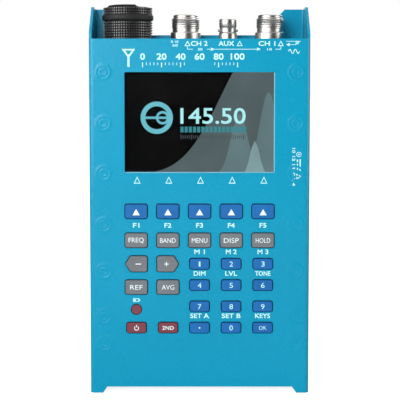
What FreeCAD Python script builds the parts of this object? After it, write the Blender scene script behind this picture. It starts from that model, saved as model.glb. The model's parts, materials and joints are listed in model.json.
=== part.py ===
# Handheld antenna analyzer: a folded sheet-metal case with a display, a keypad, three coaxial
# jacks and a large tuning knob on its top panel.
#
# Millimetres, +Z up. The case stands on its lower edges at Z = 0, its front faces -Y and X runs
# to the right as seen from the front. The origin is the middle of the bounding box's floor.
# "Depth" below is always measured backwards from the outer face of the front plate.
import FreeCAD
import Part
import math
import os

# ---- Case -----------------------------------------------------------------------------------
case_width = 121.5
case_depth = 36.0
plate_height = 196.5          # bottom to top edge of the front plate
sheet = 1.5                   # thickness of both folded shells
bend_radius = 2.5             # outside radius of every fold
shell_gap = 0.15              # between the rear cover's flanges and the front shell's walls
cover_flange = 15.0           # how far the rear cover's flanges reach forwards
wall_setback = 1.2            # of the walls' rear edges from the rear cover's outer face
fit_gap = 0.1                 # between panels and the shell they sit in

foot_width = 6.9              # flat length of the corner feet left under each plate
foot_rise = 3.5
foot_run = 2.4                # sideways length of a foot's sloping side

guard_start = 3.3             # where a side wall's slope begins, above the front plate
guard_height = 18.35          # highest point of a side wall, above the front plate
guard_depth = 21.0            # depth of that point
guard_round = 2.5
ear_height = 17.5             # ears folded in from the side walls, above the front plate
ear_width = 12.15             # along an ear's top edge; below, it slopes down at 45 degrees
ear_root = 3.0                # the ears' lower edges below the front's top edge
ear_seam = 0.3                # between the ears and the rear cover
bend_relief = 1.0             # height of the slot under each ear's fold
rear_edge = 3.0               # rear cover between the ears, above the front plate

foot_pad_radius = 5.0
foot_pad_height = 2.5
foot_pad_round = 0.8
foot_pad_side = 12.5          # from the case's side to a pad's centre
foot_pad_low = 22.0
foot_pad_top = 18.5           # from the front's top edge down to the upper pads

# ---- Top and bottom panels -----------------------------------------------------------------
panel_sheet = 2.0
panel_flange = 12.0
panel_recess = 5.0            # top panel below the front's top edge
base_recess = 8.0             # bottom panel above the floor

# ---- Window and display --------------------------------------------------------------------
window_side = 19.5            # from the case's side to the window
window_height = 55.2
window_drop = 45.9            # window's centre below the front's top edge
window_corner = 0.6
lens_margin = 2.0
lens_thickness = 1.2
glue_gap = 0.05
back_light_gap = 0.25         # between the lens and the display glass
glass_side_margin = 3.75      # display glass beyond the window, left and right
glass_end_margin = 2.4        # and above and below
glass_thickness = 1.6
tray_wall = 2.0
tray_depth = 3.8
bracket_thickness = 1.0
bracket_margin = 2.5          # beyond the outermost screw heads
bracket_window_side = 6.25    # bracket's opening inside the window, left and right
bracket_window_end = 9.6      # and above and below
bracket_window_corner = 4.0

# ---- Keypad --------------------------------------------------------------------------------
key_pitch = 17.5
soft_row = 94.85              # row heights are measured down from the front's top edge
word_row = 110.9
arrow_row = 124.0
marker_row = 137.0
light_row = 149.5
number_pitch = 11.9
wide_key = (12.1, 7.8)
small_key = (10.6, 5.7)
arrow_key = (12.0, 8.6)
arrow_point = 3.4             # length of an arrow key's pointed end
key_corner = 1.1
key_gap = 0.45                # round each key in its opening
key_lip = 0.9                 # flange that keeps a key behind the front plate
key_lip_thickness = 1.0
key_proud = 1.0
key_round = 0.35
key_rest_gap = 0.1
key_stem_length = 0.8
light_radius = 2.7
light_proud = 0.3

mat_thickness = 1.2
mat_margin = 5.0
dome_base = 3.4
dome_tip = 2.3
dome_cavity = 1.7
dome_skin = 0.8
key_board_drop = 84.5         # top edge of the key board below the front's top edge
key_board_base = 13.0
board_thickness = 1.6
board_side_gap = 3.95         # between the key board's edge and the side wall

# ---- Press-in standoffs, nuts and screws --------------------------------------------------
stud_radius = 2.5
stud_length = 5.5
stud_side = 6.3               # from the inside of the side wall to a stud's axis
display_stud_drops = (18.3, 46.3, 73.7)   # below the front's top edge
keypad_stud_drops = (102.2, 128.2)
keypad_stud_rises = (43.0, 27.8)          # the lowest ones, above the floor
screw_radius = 1.25
screw_fit = 0.05
screw_hole_gap = 0.2
pan_head_radius = 2.25
pan_head_height = 1.5
pan_screw_bite = 3.6
stud_hole_depth = 4.4
flat_head_radius = 2.3
flat_head_height = 1.2
flat_screw_length = 4.75
hex_socket = 0.75
hex_socket_depth = 0.8
side_nut_radius = 2.5
side_nut_length = 2.0
cover_screw_inset = 8.0       # from the rear cover's outer face
cover_screw_heights = (18.0, 104.0, 178.0)
panel_screw_inset = 6.0       # from a panel's inner face to its side screws
panel_screw_depth = 13.5

# ---- Main board, battery and small parts ---------------------------------------------------
main_board_side_gap = 3.6     # between the main board's edge and the rear cover's flange
main_board_top = 22.5         # below the front's top edge
main_board_height = 84.0
main_board_setback = 2.0      # behind the jacks' axes
rear_standoff_inset = 5.0
can_side = 9.0                # from the board's edge to the shield can
can_height = 70.0
can_top = 6.0                 # below the main board's top edge
can_wall = 0.5
coax_reach = 2.5              # of a coax tube into the shield can
can_gap = 2.6                 # in front of the shield can
cell_radius = 9.2             # with its wrapping
cell_length = 65.0
cell_count = 3
cell_base = 8.0               # above the bottom panel's inner face
beeper_radius = 6.0
beeper_height = 6.0
beeper_mouth_radius = 1.0
beeper_mouth_depth = 1.0
beeper_side = 20.0
beeper_drop = 136.0
ribbon_width = 20.0
ribbon_side = -8.0
ribbon_thickness = 0.3
ribbon_bend = 3.0
ribbon_run = 6.0              # length soldered to the key board
ribbon_tail = 1.5             # length soldered to the main board
ribbon_gap = 1.0              # below the shield can
coax_radius = 1.1

# ---- Jacks, encoder and knob ---------------------------------------------------------------
port_side = 21.3              # from the case's right side to the first port's axis
knob_to_port = 32.3           # from the knob's axis to the second port's
port_collar_radius = 8.45
port_collar_top = 4.0            # heights of the jacks are above the front's top edge
port_neck_radius = 7.4
port_thread_start = 6.0
port_thread_radius = 7.94
port_thread_depth = 0.6
port_thread_pitch = 1.058
port_thread_turns = 5
port_lead_radius = 6.85
port_tip = 13.6
port_lead_chamfer = 0.4
port_thread_run_out = 0.4     # from the last crest down to the lead
port_bore_radius = 4.25
port_contact_radius = 1.5
bnc_flange_radius = 7.3
bnc_flange_height = 1.8
bnc_collar_radius = 5.15
bnc_collar_top = 3.9
bnc_collar_cone = 0.1         # height of the cone from the collar in to the neck
bnc_neck_radius = 4.6
bnc_barrel_radius = 4.85
bnc_barrel_start = 7.2
bnc_barrel_cone = 0.8         # height of the cone from the neck up to the barrel
bnc_rim_chamfer = 0.3
bnc_lug_height = 5.0
bnc_lug_radius = 0.75
bnc_lug_reach = 5.6
bnc_tip = 11.3
bnc_bore_radius = 4.05
bnc_contact_radius = 1.1
jack_shank_radius = 5.7
jack_shank_length = 9.5       # below the top panel's outer face
jack_contact_recess = 2.0
jack_contact_bore = (0.6, 5.0)  # its share of the contact's radius, and its depth
jack_bead_recess = 9.0
jack_hole_gap = 0.15
jack_nut_flats = 15.0
jack_nut_height = 2.5
knob_side = 20.65             # from the case's left side to the knob's axis
knob_radius = 13.5
knob_lift = 1.5               # knob's skirt above the top panel
knob_shoulder = 17.4          # above the front's top edge
knob_top = 19.2
knob_cap_radius = 11.7
knob_cap_chamfer = 1.0
knob_dome_radius = 7.7        # flat middle of the cap
knob_dome_fall = 0.45         # from there out to the cap's chamfer
knob_rim_chamfer = 0.3
rest_reach = 6.9              # from the knob's axis to the flat of its finger rest
rest_curve = 3.0              # radius of the hollow that leads down to the flat
rest_height = 17.9
knob_skirt_radius = 9.0
knob_skirt_depth = 6.0
ring_low = 10.15              # rubber ring, above the front's top edge
ring_high = 13.85
ring_radius = 14.25
ring_seat = 1.0               # depth of the ring's groove in the knob
ring_round = 1.2
shaft_radius = 3.0
shaft_fit = 0.05
shaft_top_gap = 0.5
encoder_size = 12.5
encoder_height = 6.5
encoder_floor = 1.5           # thickness below its shaft
bushing_radius = 4.5
bushing_height = 6.0
encoder_nut_flats = 11.0
encoder_nut_height = 2.0

# ---- Power inlet and data socket -----------------------------------------------------------
inlet_drop = 71.0             # power inlet's axis below the front's top edge
inlet_body = (14.0, 11.0, 9.6)
inlet_nose_radius = 3.9
inlet_bore_radius = 2.8
inlet_bore_depth = 9.0
inlet_pin_radius = 1.0
inlet_pin_recess = 1.5
usb_x = 24.0
usb_width = 9.0
usb_thickness = 3.4
usb_length = 8.0
usb_wall = 0.35
usb_tongue = (6.6, 0.7, 5.5)
usb_gap = 0.3
usb_setback = 0.5             # above the bottom panel's outer face
usb_floor = 1.0

# ---- Worked out from the sizes above -------------------------------------------------------
front_y = key_proud - (key_proud + case_depth + foot_pad_height) / 2
shell_half = case_width / 2
wall_half = shell_half - sheet                       # inner faces of the side walls
cover_half = wall_half - shell_gap
flange_half = cover_half - sheet                     # inner faces of the rear cover's flanges
rear_inner = case_depth - sheet
flange_start = case_depth - cover_flange
mid_depth = case_depth / 2
ear_base = plate_height - ear_root
ear_corner = shell_half - ear_width                  # inner end of an ear's top edge
ear_end = ear_corner - (ear_height - rear_edge)      # foot of its slope
top_face = plate_height - panel_recess
base_face = base_recess
window_z = plate_height - window_drop
lens_front = sheet + glue_gap
glass_front = lens_front + lens_thickness + back_light_gap
window_width = case_width - 2 * window_side
glass_width = window_width + 2 * glass_side_margin
glass_height = window_height + 2 * glass_end_margin
stud_end = sheet + stud_length
stud_x = wall_half - stud_side
board_half = wall_half - board_side_gap
display_studs = [plate_height - drop for drop in display_stud_drops]
keypad_studs = [plate_height - drop for drop in keypad_stud_drops] + list(keypad_stud_rises)
key_lip_front = sheet + key_rest_gap
key_back = key_lip_front + key_lip_thickness + key_stem_length
mat_front = stud_end - mat_thickness
key_board_top = plate_height - key_board_drop
main_board_front = mid_depth + main_board_setback
main_board_back = main_board_front + board_thickness
main_board_half = flange_half - main_board_side_gap
main_board_z = plate_height - main_board_top
can_front = stud_end + bracket_thickness + can_gap
shank_end = top_face - jack_shank_length
knob_x = knob_side - shell_half
port_1_x = shell_half - port_side
port_2_x = knob_x + knob_to_port
af_x = (port_1_x + port_2_x) / 2
inlet_z = plate_height - inlet_drop
inlet_depth = main_board_back + inlet_body[1] / 2
column = [step * key_pitch for step in (-2, -1, 0, 1, 2)]
number_rows = [arrow_row + step * number_pitch for step in range(4)]

# Every key: its outline, its column and its row.
keys = {f"soft_key_{n + 1}": ("wide", column[n], soft_row) for n in range(5)}
keys["key_center"] = ("wide", column[0], word_row)
keys["key_span"] = ("wide", column[1], word_row)
keys["key_mode"] = ("wide", column[2], word_row)
keys["key_function"] = ("wide", column[3], word_row)
keys["key_run"] = ("wide", column[4], word_row)
keys["key_minus"] = ("left", column[0], arrow_row)
keys["key_plus"] = ("right", column[1], arrow_row)
keys["key_marker"] = ("wide", column[0], marker_row)
keys["key_amplitude"] = ("wide", column[1], marker_row)
keys["key_power"] = ("small", column[0], number_rows[3])
keys["key_shift"] = ("small", column[1], number_rows[3])
keys["key_point"] = ("small", column[2], number_rows[3])
keys["key_0"] = ("small", column[3], number_rows[3])
keys["key_enter"] = ("small", column[4], number_rows[3])
for digit in range(1, 10):
    keys[f"key_{digit}"] = ("small", column[2 + (digit - 1) % 3], number_rows[(digit - 1) // 3])


# ---- Drawing helpers -----------------------------------------------------------------------
def at(x, depth, z):
    return FreeCAD.Vector(x, front_y + depth, z)


def block(x_range, depth_range, z_range):
    corner = at(x_range[0], depth_range[0], z_range[0])
    return Part.makeBox(x_range[1] - x_range[0], depth_range[1] - depth_range[0],
                        z_range[1] - z_range[0], corner)


def rod_up(x, depth, z_range, radius):
    return Part.makeCylinder(radius, z_range[1] - z_range[0], at(x, depth, z_range[0]))


def rod_back(x, z, depth_range, radius):
    return Part.makeCylinder(radius, depth_range[1] - depth_range[0], at(x, depth_range[0], z),
                             FreeCAD.Vector(0, 1, 0))


def rod_side(depth, z, x_range, radius):
    return Part.makeCylinder(radius, x_range[1] - x_range[0], at(x_range[0], depth, z),
                             FreeCAD.Vector(1, 0, 0))


def turned(x, depth, profile):
    # A solid turned about the vertical axis at (x, depth) from (radius, z) points.
    points = [at(x + radius, depth, z) for radius, z in profile]
    face = Part.Face(Part.makePolygon(points + points[:1]))
    return face.revolve(at(x, depth, 0), FreeCAD.Vector(0, 0, 1), 360)


def hexagon_up(x, depth, z_range, flats):
    reach = flats / math.sqrt(3)
    angles = [math.radians(60 * n) for n in range(6)]
    points = [at(x + reach * math.cos(a), depth + reach * math.sin(a), z_range[0]) for a in angles]
    face = Part.Face(Part.makePolygon(points + points[:1]))
    return face.extrude(FreeCAD.Vector(0, 0, z_range[1] - z_range[0]))


def plate_outline(points, depth_range):
    # A flat piece seen from the front: (x, z) points, thickness along the depth.
    corners = [at(x, depth_range[0], z) for x, z in points]
    face = Part.Face(Part.makePolygon(corners + corners[:1]))
    return face.extrude(FreeCAD.Vector(0, depth_range[1] - depth_range[0], 0))


def side_outline(points, x_range):
    # A flat piece seen from the side: (depth, z) points, thickness along X.
    corners = [at(x_range[0], depth, z) for depth, z in points]
    face = Part.Face(Part.makePolygon(corners + corners[:1]))
    return face.extrude(FreeCAD.Vector(x_range[1] - x_range[0], 0, 0))


def edges_along(shape, axis, wanted=lambda middle: True):
    # Straight edges parallel to an axis whose middle passes the test.
    found = []
    for edge in shape.Edges:
        if len(edge.Vertexes) != 2:
            continue
        start, end = edge.Vertexes[0].Point, edge.Vertexes[1].Point
        run = end.sub(start)
        if abs(abs(run.dot(axis)) - run.Length) < 1e-6 and wanted((start + end) * 0.5):
            found.append(edge)
    return found


def rounded_window(x, z, width, height, radius, depth_range):
    body = block((x - width / 2, x + width / 2), depth_range, (z - height / 2, z + height / 2))
    return body.makeFillet(radius, edges_along(body, FreeCAD.Vector(0, 1, 0)))


def folded_channel(half_width, depth_range, height, web_in_front):
    # A sheet folded to a U: a web across the case and a flange down each side.
    up = FreeCAD.Vector(0, 0, 1)
    near, far = depth_range
    outside = block((-half_width, half_width), (near, far), (0, height))
    web_y = at(0, near if web_in_front else far, 0).y
    outside = outside.makeFillet(bend_radius, edges_along(outside, up,
                                                          lambda m: abs(m.y - web_y) < 1e-6))
    inner = half_width - sheet
    if web_in_front:
        near += sheet
    else:
        far -= sheet
    inside = block((-inner, inner), (near, far), (0, height))
    web_y = at(0, near if web_in_front else far, 0).y
    fold = max(bend_radius - sheet, 0.2)
    inside = inside.makeFillet(fold, edges_along(inside, up, lambda m: abs(m.y - web_y) < 1e-6))
    return outside.cut(inside)


def foot_notch(depth_range):
    # The cut that leaves a foot at each lower corner of a plate.
    low = shell_half - foot_width
    high = low - foot_run
    below = foot_run / foot_rise
    points = [(-low - below, -1), (low + below, -1), (high, foot_rise), (-high, foot_rise)]
    return plate_outline(points, depth_range)


# ---- Keys ----------------------------------------------------------------------------------
def key_prism(kind, x, z, grow, depth_range):
    # A key's outline, grown all round, between two depths.
    width, height = {"wide": wide_key, "small": small_key}.get(kind, arrow_key)
    right, top = width / 2 - key_corner, height / 2 - key_corner
    if kind in ("left", "right"):
        shoulder = arrow_point - width / 2
        tip = -width / 2 + key_corner * math.hypot(1, arrow_point / (height / 2))
        corners = [(tip, 0), (shoulder, -top), (right, -top), (right, top), (shoulder, top)]
    else:
        corners = [(-right, -top), (right, -top), (right, top), (-right, top)]
    if kind == "right":
        corners = [(-cx, cz) for cx, cz in reversed(corners)]
    points = [at(x + cx, depth_range[0], z + cz) for cx, cz in corners]
    outline = Part.makePolygon(points + points[:1]).makeOffset2D(key_corner + grow)
    return Part.Face(outline).extrude(FreeCAD.Vector(0, depth_range[1] - depth_range[0], 0))


def keycap(kind, x, row):
    z = plate_height - row
    cap = key_prism(kind, x, z, 0, (-key_proud, key_lip_front + key_lip_thickness))
    face_y = at(0, -key_proud, 0).y
    rim = [edge for edge in cap.Edges if all(abs(v.Y - face_y) < 1e-6 for v in edge.Vertexes)]
    cap = cap.makeFillet(key_round, rim)
    lip = key_prism(kind, x, z, key_lip, (key_lip_front, key_lip_front + key_lip_thickness))
    stem = rod_back(x, z, (key_lip_front, key_back), dome_tip)
    return cap.fuse([lip, stem]).removeSplitter()


def key_opening(kind, x, row):
    return key_prism(kind, x, plate_height - row, key_gap, (-1, sheet + 1))


def key_mat():
    # One silicone sheet on the key board, with a hollow dome under each key.
    reach = column[-1] + wide_key[0] / 2 + mat_margin
    top = plate_height - soft_row + wide_key[1] / 2 + mat_margin
    bottom = plate_height - number_rows[3] - small_key[1] / 2 - mat_margin
    mat = block((-reach, reach), (mat_front, stud_end), (bottom, top))
    back = FreeCAD.Vector(0, 1, 0)
    for kind, x, row in keys.values():
        z = plate_height - row
        mat = mat.fuse(Part.makeCone(dome_tip, dome_base, mat_front - key_back,
                                     at(x, key_back, z), back))
    hollows = [rod_back(x, plate_height - row, (key_back + dome_skin, stud_end + 1), dome_cavity)
               for kind, x, row in keys.values()]
    hollows.append(rod_back(column[0], plate_height - light_row, (0, stud_end + 1),
                            light_radius + key_gap))
    return mat.cut(Part.makeCompound(hollows))


def status_light():
    # Light pipe from a lamp on the key board to the front.
    z = plate_height - light_row
    pipe = rod_back(column[0], z, (-light_proud, stud_end - 0.5), light_radius)
    collar = rod_back(column[0], z, (key_lip_front, key_lip_front + key_lip_thickness),
                      light_radius + key_lip)
    return pipe.fuse(collar)


# ---- Shells and panels ---------------------------------------------------------------------
def side_screw_places():
    # (depth, z) of the screws through each side wall.
    places = [(case_depth - cover_screw_inset, z) for z in cover_screw_heights]
    places.append((panel_screw_depth, top_face - panel_sheet - panel_screw_inset))
    places.append((panel_screw_depth, base_face + panel_sheet + panel_screw_inset))
    return places


def inlet_hole():
    return rod_side(inlet_depth, inlet_z, (0, shell_half + 1), inlet_nose_radius + fit_gap)


def front_shell():
    # The front plate, both side walls and the ears at their tops, folded from one sheet.
    tall, ear_top = plate_height + guard_height, plate_height + ear_height
    wall_depth = case_depth - wall_setback
    behind = (guard_depth + 1, case_depth + 1)
    walls = folded_channel(shell_half, (0, wall_depth), tall, True)
    walls = walls.cut(block((-shell_half, shell_half), behind, (ear_base, tall)))
    ears = folded_channel(shell_half, (guard_depth, case_depth), tall, False)
    notch = plate_outline([(-ear_end, ear_base - 1), (ear_end, ear_base - 1),
                           (ear_end, plate_height + rear_edge), (ear_corner, ear_top),
                           (ear_corner, tall + 3), (-ear_corner, tall + 3),
                           (-ear_corner, ear_top), (-ear_end, plate_height + rear_edge)],
                          (rear_inner - bend_radius, case_depth + 1))
    corners = edges_along(notch, FreeCAD.Vector(0, 1, 0), lambda m: abs(m.z - ear_top) < 0.1)
    ears = ears.cut(notch.makeFillet(guard_round, corners))
    ears = ears.cut(block((-shell_half, shell_half), (guard_depth - 1, case_depth + 1),
                          (0, ear_base)))
    side_view = [(0, 0), (0, plate_height), (bend_radius, plate_height),
                 (bend_radius, plate_height + guard_start), (guard_depth, tall),
                 (case_depth, ear_top), (case_depth, 0)]
    envelope = side_outline(side_view, (-shell_half, shell_half))
    first, last = at(0, bend_radius - 0.1, 0).y, at(0, guard_depth + 0.1, 0).y
    upper = edges_along(envelope, FreeCAD.Vector(1, 0, 0),
                        lambda m: m.z > plate_height + 0.1 and first < m.y < last)
    shell = walls.fuse(ears).common(envelope.makeFillet(guard_round, upper)).removeSplitter()
    cuts = [foot_notch((-1, bend_radius + 1))]
    cuts.append(block((-shell_half, shell_half), (case_depth - bend_radius, case_depth + 1),
                      (ear_base - bend_relief, ear_base)))
    cuts.append(rounded_window(0, window_z, window_width, window_height, window_corner,
                               (-1, sheet + 1)))
    cuts += [key_opening(*key) for key in keys.values()]
    cuts.append(rod_back(column[0], plate_height - light_row, (-1, sheet + 1),
                         light_radius + key_gap))
    cuts.append(inlet_hole())
    for depth, z in side_screw_places():
        cuts.append(rod_side(depth, z, (-shell_half, shell_half), screw_radius + screw_hole_gap))
        for side in (-1, 1):
            cuts.append(flat_head(side, depth, z, screw_fit))
    return shell.cut(Part.makeCompound(cuts))


def rear_cover():
    # The rear plate and its flanges inside the side walls, stepped down under the ears.
    top, step = plate_height + rear_edge, ear_base - ear_seam
    cover = folded_channel(cover_half, (flange_start, case_depth), top, False)
    cuts = [block(sorted((side * (ear_end - ear_seam), side * shell_half)),
                  (flange_start - 1, case_depth + 1), (step, top + 1)) for side in (-1, 1)]
    cuts += [inlet_hole(), foot_notch((case_depth - bend_radius - 1, case_depth + 1))]
    cuts += [rod_side(case_depth - cover_screw_inset, z, (-shell_half, shell_half),
                      screw_radius + screw_hole_gap) for z in cover_screw_heights]
    return cover.cut(Part.makeCompound(cuts))


def end_panel(outer_z, inward):
    # A panel across the case with a flange folded inwards at each end, and a narrower part
    # between the rear cover's flanges.
    wide, narrow = wall_half - fit_gap, flange_half - fit_gap
    inner_z = outer_z + inward * panel_sheet
    web = tuple(sorted((outer_z, inner_z)))
    fold = tuple(sorted((outer_z, inner_z + inward * (panel_flange - panel_sheet))))
    shoulder = flange_start - 1
    front, back = sheet + fit_gap, rear_inner - fit_gap
    up = FreeCAD.Vector(0, 0, 1)
    near, far = at(0, front, 0).y, at(0, back, 0).y
    panel = block((-wide, wide), (front, shoulder), web)
    panel = panel.makeFillet(bend_radius, edges_along(panel, up, lambda m: m.y < near + 1e-6))
    behind = block((-narrow, narrow), (shoulder, back), web)
    behind = behind.makeFillet(bend_radius, edges_along(behind, up, lambda m: m.y > far - 1e-6))
    panel = panel.fuse(behind)
    for side in (-1, 1):
        ends = sorted((side * (wide - panel_sheet), side * wide))
        panel = panel.fuse(block(ends, (front + bend_radius, shoulder), fold))
    screw_z = inner_z + inward * panel_screw_inset
    hole = rod_side(panel_screw_depth, screw_z, (-wide, wide), screw_radius + screw_hole_gap)
    return panel.cut(hole).removeSplitter()


def top_panel():
    panel = end_panel(top_face, -1)
    through = (top_face - panel_sheet - 1, top_face + 1)
    for x in (port_1_x, port_2_x, af_x):
        panel = panel.cut(rod_up(x, mid_depth, through, jack_shank_radius + jack_hole_gap))
    return panel.cut(rod_up(knob_x, mid_depth, through, bushing_radius + jack_hole_gap))


def bottom_panel():
    panel = end_panel(base_face, 1)
    reach = usb_width / 2 + usb_gap
    depth = stud_end + board_thickness
    slot = block((usb_x - reach, usb_x + reach),
                 (depth - usb_gap, depth + usb_thickness + usb_gap),
                 (base_face - 1, base_face + panel_sheet + 1))
    return panel.cut(slot)


def rear_feet():
    feet = []
    for side in (-1, 1):
        for z in (foot_pad_low, plate_height - foot_pad_top):
            pad = rod_back(side * (shell_half - foot_pad_side), z,
                           (case_depth, case_depth + foot_pad_height), foot_pad_radius)
            sole = at(0, case_depth + foot_pad_height, 0).y
            rim = [edge for edge in pad.Edges if all(abs(v.Y - sole) < 1e-6 for v in edge.Vertexes)]
            feet.append(pad.makeFillet(foot_pad_round, rim[:1]))
    return Part.makeCompound(feet)


# ---- Display -------------------------------------------------------------------------------
def window_lens():
    width, height = window_width + 2 * lens_margin, window_height + 2 * lens_margin
    return rounded_window(0, window_z, width, height, window_corner + 1,
                          (lens_front, lens_front + lens_thickness))


def display_module():
    # The glass panel and the tray that holds it and its back light.
    glass = rounded_window(0, window_z, glass_width, glass_height, window_corner,
                           (glass_front, glass_front + glass_thickness))
    tray = rounded_window(0, window_z, glass_width + 2 * tray_wall, glass_height + 2 * tray_wall,
                          window_corner + 1, (glass_front, glass_front + tray_depth))
    pocket = block((-glass_width / 2 - fit_gap, glass_width / 2 + fit_gap),
                   (glass_front - 1, glass_front + glass_thickness + fit_gap),
                   (window_z - glass_height / 2 - fit_gap, window_z + glass_height / 2 + fit_gap))
    return Part.makeCompound([glass, tray.cut(pocket)])


def display_bracket():
    # The plate that the upper studs clamp against the display's back.
    margin = pan_head_radius + bracket_margin
    top, bottom = display_studs[0] + margin, display_studs[-1] - margin
    bracket = block((-board_half, board_half), (stud_end, stud_end + bracket_thickness),
                    (bottom, top))
    cuts = [rounded_window(0, window_z, window_width - 2 * bracket_window_side,
                           window_height - 2 * bracket_window_end, bracket_window_corner,
                           (stud_end - 1, stud_end + bracket_thickness + 1))]
    cuts += [rod_back(x, z, (stud_end - 1, stud_end + bracket_thickness + 1),
                      screw_radius + screw_hole_gap) for x, z in stud_places(display_studs)]
    return bracket.cut(Part.makeCompound(cuts))


# ---- Boards and what they carry ------------------------------------------------------------
def stud_places(heights):
    return [(side * stud_x, z) for side in (-1, 1) for z in heights]


def standoff_places():
    x = main_board_half - rear_standoff_inset
    low = main_board_z - main_board_height + rear_standoff_inset
    return [(side * x, z) for side in (-1, 1) for z in (low, main_board_z - rear_standoff_inset)]


def key_board():
    board = block((-board_half, board_half), (stud_end, stud_end + board_thickness),
                  (key_board_base, key_board_top))
    holes = [rod_back(x, z, (stud_end - 1, stud_end + board_thickness + 1),
                      screw_radius + screw_hole_gap) for x, z in stud_places(keypad_studs)]
    return board.cut(Part.makeCompound(holes))


def main_board():
    board = block((-main_board_half, main_board_half), (main_board_front, main_board_back),
                  (main_board_z - main_board_height, main_board_z))
    holes = [rod_back(x, z, (main_board_front - 1, main_board_back + 1),
                      screw_radius + screw_hole_gap) for x, z in standoff_places()]
    return board.cut(Part.makeCompound(holes))


def shield_can():
    half, top = main_board_half - can_side, main_board_z - can_top
    can = block((-half, half), (can_front, main_board_front), (top - can_height, top))
    room = block((can_wall - half, half - can_wall), (can_front + can_wall, main_board_front + 1),
                 (top - can_height + can_wall, top - can_wall))
    can = can.cut(room)
    for x in (port_1_x, port_2_x, af_x):
        can = can.cut(rod_up(x, mid_depth, (top - coax_reach, top + 1), coax_radius + fit_gap))
    return can


def rf_cables():
    # Straight semi-rigid coax from the foot of each jack into the shield can.
    top = main_board_z - can_top
    return Part.makeCompound([rod_up(x, mid_depth, (top - coax_reach, shank_end), coax_radius)
                              for x in (port_1_x, port_2_x, af_x)])


def battery_pack():
    # Cells side by side in one wrapping, stuck flat against the rear plate.
    first = base_face + panel_sheet + cell_base + cell_radius
    last = first + (cell_count - 1) * 2 * cell_radius
    ends = (-cell_length / 2, cell_length / 2)
    pack = block(ends, (rear_inner - 2 * cell_radius, rear_inner), (first, last))
    for z in (first, last):
        pack = pack.fuse(rod_side(rear_inner - cell_radius, z, ends, cell_radius))
    return pack.removeSplitter()


def beeper():
    back = stud_end + board_thickness
    x, z = beeper_side - shell_half, plate_height - beeper_drop
    body = rod_back(x, z, (back, back + beeper_height), beeper_radius)
    return body.cut(rod_back(x, z, (back + beeper_height - beeper_mouth_depth,
                                    back + beeper_height + 1), beeper_mouth_radius))


def flat_cable():
    # A ribbon from the key board's back to the main board's front, with two easy bends.
    near, far = stud_end + board_thickness, main_board_front
    high = main_board_z - can_top - can_height - ribbon_gap
    turn = high - ribbon_tail - ribbon_bend
    low = turn - ribbon_bend - ribbon_run
    t = ribbon_thickness
    points = [(near, low), (near + t, low), (near + t, turn), (far, turn), (far, high),
              (far - t, high), (far - t, turn + t), (near, turn + t)]
    ribbon = side_outline(points, (ribbon_side - ribbon_width / 2, ribbon_side + ribbon_width / 2))
    across = FreeCAD.Vector(1, 0, 0)

    def corner(depth, z):
        place = at(0, depth, z)
        return edges_along(ribbon, across,
                           lambda m: abs(m.y - place.y) < 1e-6 and abs(m.z - place.z) < 1e-6)

    ribbon = ribbon.makeFillet(ribbon_bend - t, corner(near + t, turn) + corner(far - t, turn + t))
    return ribbon.makeFillet(ribbon_bend, corner(near, turn + t) + corner(far, turn))


# ---- Fasteners -----------------------------------------------------------------------------
def flat_head(side, depth, z, grow=0.0):
    # The cone of a countersunk head that lies flush in a side wall.
    lift = 0.0 if grow == 0.0 else 0.5
    slope = (flat_head_radius - screw_radius) / flat_head_height
    return Part.makeCone(flat_head_radius + grow + lift * slope, screw_radius + grow,
                         flat_head_height + lift, at(side * (shell_half + lift), depth, z),
                         FreeCAD.Vector(-side, 0, 0))


def side_screws():
    screws = []
    for side in (-1, 1):
        for depth, z in side_screw_places():
            ends = sorted((side * (shell_half - flat_screw_length), side * shell_half))
            screw = rod_side(depth, z, ends, screw_radius).fuse(flat_head(side, depth, z))
            socket = [at(side * shell_half, depth + hex_socket * math.cos(math.radians(60 * n)),
                         z + hex_socket * math.sin(math.radians(60 * n))) for n in range(6)]
            socket = Part.Face(Part.makePolygon(socket + socket[:1]))
            screws.append(screw.cut(socket.extrude(
                FreeCAD.Vector(-side * hex_socket_depth, 0, 0))))
    return Part.makeCompound(screws)


def clinch_hardware():
    # Standoffs and nuts pressed into the sheet metal.
    pieces = []
    for x, z in stud_places(display_studs + keypad_studs):
        stud = rod_back(x, z, (sheet, stud_end), stud_radius)
        pieces.append(stud.cut(rod_back(x, z, (stud_end - stud_hole_depth, stud_end + 1),
                                        screw_radius + screw_fit)))
    for x, z in standoff_places():
        stud = rod_back(x, z, (main_board_back, rear_inner), stud_radius)
        pieces.append(stud.cut(rod_back(x, z, (main_board_back - 1,
                                               main_board_back + stud_hole_depth),
                                        screw_radius + screw_fit)))
    for side in (-1, 1):
        for depth, z in side_screw_places():
            held = flange_half if depth > flange_start else wall_half - fit_gap - panel_sheet
            ends = sorted((side * (held - side_nut_length), side * held))
            nut = rod_side(depth, z, ends, side_nut_radius)
            pieces.append(nut.cut(rod_side(depth, z, (-shell_half, shell_half),
                                           screw_radius + screw_fit)))
    return Part.makeCompound(pieces)


def board_screws():
    screws = []
    held = [(place, stud_end + bracket_thickness, bracket_thickness)
            for place in stud_places(display_studs)]
    held += [(place, stud_end + board_thickness, board_thickness)
             for place in stud_places(keypad_studs)]
    for (x, z), seat, grip in held:
        shank = rod_back(x, z, (seat - grip - pan_screw_bite, seat), screw_radius)
        screws.append(shank.fuse(rod_back(x, z, (seat, seat + pan_head_height), pan_head_radius)))
    for x, z in standoff_places():
        shank = rod_back(x, z, (main_board_front, main_board_back + pan_screw_bite), screw_radius)
        head = rod_back(x, z, (main_board_front - pan_head_height, main_board_front),
                        pan_head_radius)
        screws.append(shank.fuse(head))
    return Part.makeCompound(screws)


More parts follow.
